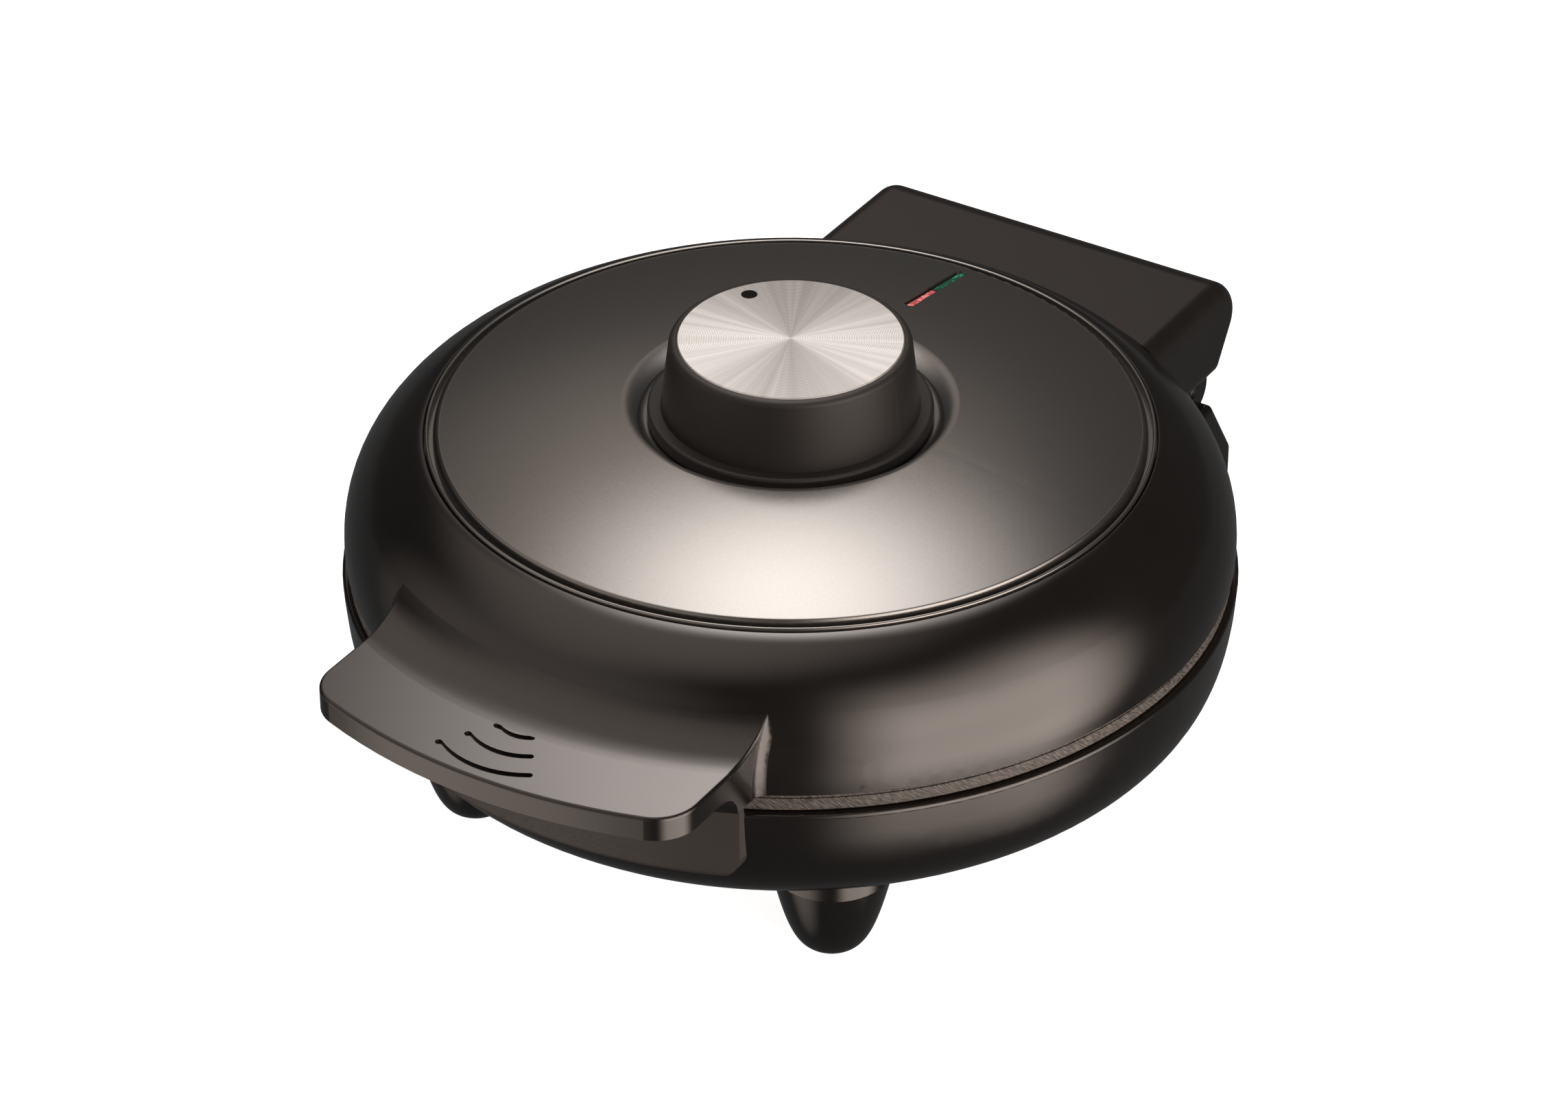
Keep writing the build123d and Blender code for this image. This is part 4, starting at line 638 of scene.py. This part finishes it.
matte = add_node(tree, "ShaderNodeMapRange", {}, {"Value": (skin, "Fac"), "To Min": 0.48, "To Max": 0.6})
rough = add_node(
    tree,
    "ShaderNodeMix",
    {"data_type": "FLOAT"},
    {"Factor": (on_pip, "Value"), "A": (matte, "Result"), "B": 0.1},
)
tree.links.new(rough.outputs["Result"], shader.inputs["Roughness"])
surface = add_node(tree, "ShaderNodeNewGeometry", {}, {})
dish = add_node(tree, "ShaderNodeVectorMath", {"operation": "NORMALIZE"}, {0: PIP_FACING})
pip = swap_normal(tree, (surface, "Normal"), on_pip, dish)
dents = add_node(
    tree,
    "ShaderNodeBump",
    {},
    {"Height": (skin, "Fac"), "Normal": (pip, "Result"), "Strength": 0.1, "Distance": 0.03 * MM},
)
tree.links.new(dents.outputs["Normal"], shader.inputs["Normal"])
dress(satin, "knob_body")

# Knob cap: an aluminium disc, face-turned so that fine rings run round its centre, glued into the knob.
# The rings stretch every highlight into bright fans that meet in the middle; its colour adds faint rays that are
# partly chatter marks and partly painted highlight.
# Real rings are about 0.2 mm apart; they are drawn 0.4 mm apart so that they show.

RING = 0.4 * MM
RAY = math.radians(5)
turned, tree, shader = start_material("face_turned_aluminium", Metallic=1.0, Anisotropic=0.42)
place = add_node(tree, "ShaderNodeTexCoord", {}, {})
rings = add_node(
    tree,
    "ShaderNodeTexWave",
    {"wave_type": "RINGS", "rings_direction": "Z"},
    {"Vector": (place, "Object"), "Scale": math.pi / 10 / RING, "Distortion": 0.4, "Detail": 1.0},
)
_, out = turned_frame(tree, place)
# faint rays in the colour: partly chatter marks, partly painted highlight fans
chatter_and_painted_rays = add_node(tree, "ShaderNodeTexNoise", {}, {"Vector": (out, "Vector"), "Scale": 1 / RAY, "Detail": 2.0})
rings_and_painted_rays = add_node(tree, "ShaderNodeMath", {"operation": "MULTIPLY"}, {0: (rings, "Fac"), 1: (chatter_and_painted_rays, "Fac")})
tone = add_node(
    tree,
    "ShaderNodeMix",
    {"data_type": "RGBA"},
    {"Factor": (rings_and_painted_rays, "Value"), "A": linear("939494"), "B": linear("f2f3f3")},
)
tree.links.new(tone.outputs["Result"], shader.inputs["Base Color"])
rough = add_node(tree, "ShaderNodeMapRange", {}, {"Value": (rings, "Fac"), "To Min": 0.5, "To Max": 0.4})
tree.links.new(rough.outputs["Result"], shader.inputs["Roughness"])
cuts = add_node(tree, "ShaderNodeBump", {}, {"Height": (rings, "Fac"), "Strength": 0.15, "Distance": 0.03 * MM})
tree.links.new(cuts.outputs["Normal"], shader.inputs["Normal"])
round_way = add_node(tree, "ShaderNodeTangent", {"direction_type": "RADIAL", "axis": "Z"}, {})
tree.links.new(round_way.outputs["Tangent"], shader.inputs["Tangent"])
dress(turned, "knob_cap")

# Floor: a wide sheet of white card under the object, white to the eye, with the object's soft shadow.
# Gloss takes a little of its white and shows the room's light past it.

CARD_SIZE = 12.0
CARD_LEVEL = -0.2 * MM
GLOSS_SHARE = 0.05
bpy.ops.object.select_all(action="DESELECT")
bpy.ops.mesh.primitive_plane_add(size=CARD_SIZE, location=(0, 0, CARD_LEVEL))
floor = bpy.context.object
floor.name = "floor_card"
card = bpy.data.materials.new("white_card")
card.use_nodes = True
tree = card.node_tree
tree.nodes.clear()
path = add_node(tree, "ShaderNodeLightPath", {}, {})
paper = add_node(tree, "ShaderNodeBsdfDiffuse", {}, {"Color": linear("c9c7c5")})
glow = add_node(tree, "ShaderNodeEmission", {}, {"Color": linear("ffffff"), "Strength": 0.93})
seen = add_node(tree, "ShaderNodeAddShader", {}, {0: (paper, "BSDF"), 1: (glow, "Emission")})
clear = add_node(tree, "ShaderNodeBsdfTransparent", {}, {})
faint = add_node(tree, "ShaderNodeMixShader", {}, {0: GLOSS_SHARE, 1: (clear, "BSDF"), 2: (glow, "Emission")})
unseen = add_node(
    tree, "ShaderNodeMixShader", {}, {0: (path, "Is Glossy Ray"), 1: (paper, "BSDF"), 2: (faint, "Shader")}
)
eye = add_node(
    tree,
    "ShaderNodeMath",
    {"operation": "MAXIMUM"},
    {0: (path, "Is Camera Ray"), 1: (path, "Is Transmission Ray")},
)
mix = add_node(tree, "ShaderNodeMixShader", {}, {0: (eye, "Value"), 1: (unseen, "Shader"), 2: (seen, "Shader")})
add_node(tree, "ShaderNodeOutputMaterial", {}, {"Surface": (mix, "Shader")})
floor.data.materials.append(card)

# Room: dark, with a tall window on the right, a dim front, ceiling and far wall, and white to the eye.
# Bearings and rises are seen from the object; each patch of light fades smoothly at its edges.

WINDOW_LEVEL = 6.6
world = bpy.data.worlds.new("dim_studio")
bpy.context.scene.world = world
world.use_nodes = True
tree = world.node_tree
tree.nodes.clear()
path = add_node(tree, "ShaderNodeLightPath", {}, {})
way = add_node(tree, "ShaderNodeTexCoord", {}, {})
parts = add_node(tree, "ShaderNodeSeparateXYZ", {}, {"Vector": (way, "Generated")})
bearing = add_node(tree, "ShaderNodeMath", {"operation": "ARCTAN2"}, {0: (parts, "X"), 1: (parts, "Y")})
rise = add_node(tree, "ShaderNodeMath", {"operation": "ARCSINE"}, {0: (parts, "Z")})
# the window spans bearings 67 to 131 degrees and rises from 41 below to 35 above the level, at half strength
level = None
for source, dark, pebble_painted_glow, strength in (
    (bearing, 52, 83, WINDOW_LEVEL),
    (bearing, 145, 117, 1.0),
    (rise, 62, 8, 1.0),
    (rise, -60, -22, 1.0),
):
    edge = add_node(
        tree,
        "ShaderNodeMapRange",
        {"interpolation_type": "SMOOTHSTEP"},
        {
            "Value": (source, "Value"),
            "From Min": math.radians(dark),
            "From Max": math.radians(pebble_painted_glow),
            "To Max": strength,
        },
    )
    if level is None:
        level = edge
    else:
        level = add_node(tree, "ShaderNodeMath", {"operation": "MULTIPLY"}, {0: (level, 0), 1: (edge, "Result")})
# front, floor before the object, ceiling and far wall, each round the way that it is seen in
for aim, dark, pebble_painted_glow, strength in (
    ((-0.5, -0.87, 0.0), 0.45, 0.9, 0.8),
    ((-0.44, -0.71, -0.55), 0.8, 1.0, 1.5),
    ((-0.3, -0.05, 0.95), 0.72, 1.0, 1.3),
    ((-0.465, 0.636, 0.616), 0.957, 1.0, 0.7),
):
    near = add_node(tree, "ShaderNodeVectorMath", {"operation": "DOT_PRODUCT"}, {0: (way, "Generated"), 1: aim})
    patch = add_node(
        tree,
        "ShaderNodeMapRange",
        {"interpolation_type": "SMOOTHSTEP"},
        {"Value": (near, "Value"), "From Min": dark, "From Max": pebble_painted_glow, "To Max": strength},
    )
    level = add_node(tree, "ShaderNodeMath", {"operation": "ADD"}, {0: (level, 0), 1: (patch, "Result")})
room = add_node(
    tree, "ShaderNodeBackground", {}, {"Color": (1.0, 0.85, 0.75, 1.0), "Strength": (level, "Value")}
)
white = add_node(tree, "ShaderNodeBackground", {}, {"Color": linear("ffffff"), "Strength": 1.0})
eye = add_node(tree, "ShaderNodeMath", {"operation": "MULTIPLY"}, {0: (path, "Is Glossy Ray"), 1: GLOSS_SHARE})
for kind in ("Is Camera Ray", "Is Transmission Ray"):
    eye = add_node(tree, "ShaderNodeMath", {"operation": "MAXIMUM"}, {0: (eye, "Value"), 1: (path, kind)})
mix = add_node(
    tree, "ShaderNodeMixShader", {}, {0: (eye, "Value"), 1: (room, "Background"), 2: (white, "Background")}
)
add_node(tree, "ShaderNodeOutputWorld", {}, {"Surface": (mix, "Shader")})

# Soft box: a warm lamp behind cloth that hangs close over the back of the object and faces down.
# Its light fades from the middle to the rim, and the camera doesn't see it.

BOX_SPOT = (-0.037, 0.0594, 0.295)
BOX_ACROSS = (0.849, 0.528, 0)
BOX_WIDTH = 0.28
BOX_DEPTH = 0.3
BOX_RADIANCE = 7.2
lamp = bpy.data.lights.new("soft_box_top", "AREA")
lamp.shape = "RECTANGLE"
lamp.size = BOX_WIDTH
lamp.size_y = BOX_DEPTH
lamp.energy = BOX_RADIANCE * math.pi * BOX_WIDTH * BOX_DEPTH
lamp.color = (1.0, 0.91, 0.86)
lamp.use_nodes = True
tree = lamp.node_tree
cloth = add_node(tree, "ShaderNodeNewGeometry", {}, {})
centred = add_node(
    tree, "ShaderNodeVectorMath", {"operation": "SUBTRACT"}, {0: (cloth, "Parametric"), 1: (0.5, 0.5, 0.0)}
)
inward = add_node(tree, "ShaderNodeVectorMath", {"operation": "ABSOLUTE"}, {0: (centred, "Vector")})
parts = add_node(tree, "ShaderNodeSeparateXYZ", {}, {"Vector": (inward, "Vector")})
across, along = [
    add_node(
        tree,
        "ShaderNodeMapRange",
        {"interpolation_type": "SMOOTHSTEP"},
        {"Value": (parts, axis), "From Min": 0.5, "From Max": 0.0},
    )
    for axis in ("X", "Y")
]
fade = add_node(tree, "ShaderNodeMath", {"operation": "MULTIPLY"}, {0: (across, "Result"), 1: (along, "Result")})
tree.links.new(fade.outputs["Value"], tree.nodes["Emission"].inputs["Strength"])
box = bpy.data.objects.new("soft_box_top", lamp)
side = Vector(BOX_ACROSS).normalized()
back = Vector((0, 0, 1))
turn = Matrix((side, back.cross(side), back)).transposed()
box.matrix_world = Matrix.Translation(BOX_SPOT) @ turn.to_4x4()
box.visible_camera = False
bpy.context.scene.collection.objects.link(box)

# Camera: where the photograph was taken from, by its solved place, direction and lens.
# It looks down at the object from the front right.

CAMERA_SPOT = (0.5889, -0.9496, 0.7973)
AZIMUTH = math.radians(31.8865)
ELEVATION = math.radians(33.5693)
optics = bpy.data.cameras.new("photo_camera")
optics.sensor_width = 36.0
optics.lens = 126.25
optics.clip_start = 0.05
optics.clip_end = 50.0
camera = bpy.data.objects.new("photo_camera", optics)
right = Vector((math.cos(AZIMUTH), math.sin(AZIMUTH), 0))
back = Vector(
    (
        math.sin(AZIMUTH) * math.cos(ELEVATION),
        -math.cos(AZIMUTH) * math.cos(ELEVATION),
        math.sin(ELEVATION),
    )
)
turn = Matrix((right, back.cross(right), back)).transposed()
camera.matrix_world = Matrix.Translation(CAMERA_SPOT) @ turn.to_4x4()
bpy.context.scene.collection.objects.link(camera)
bpy.context.scene.camera = camera
bpy.context.scene.view_settings.view_transform = "Standard"
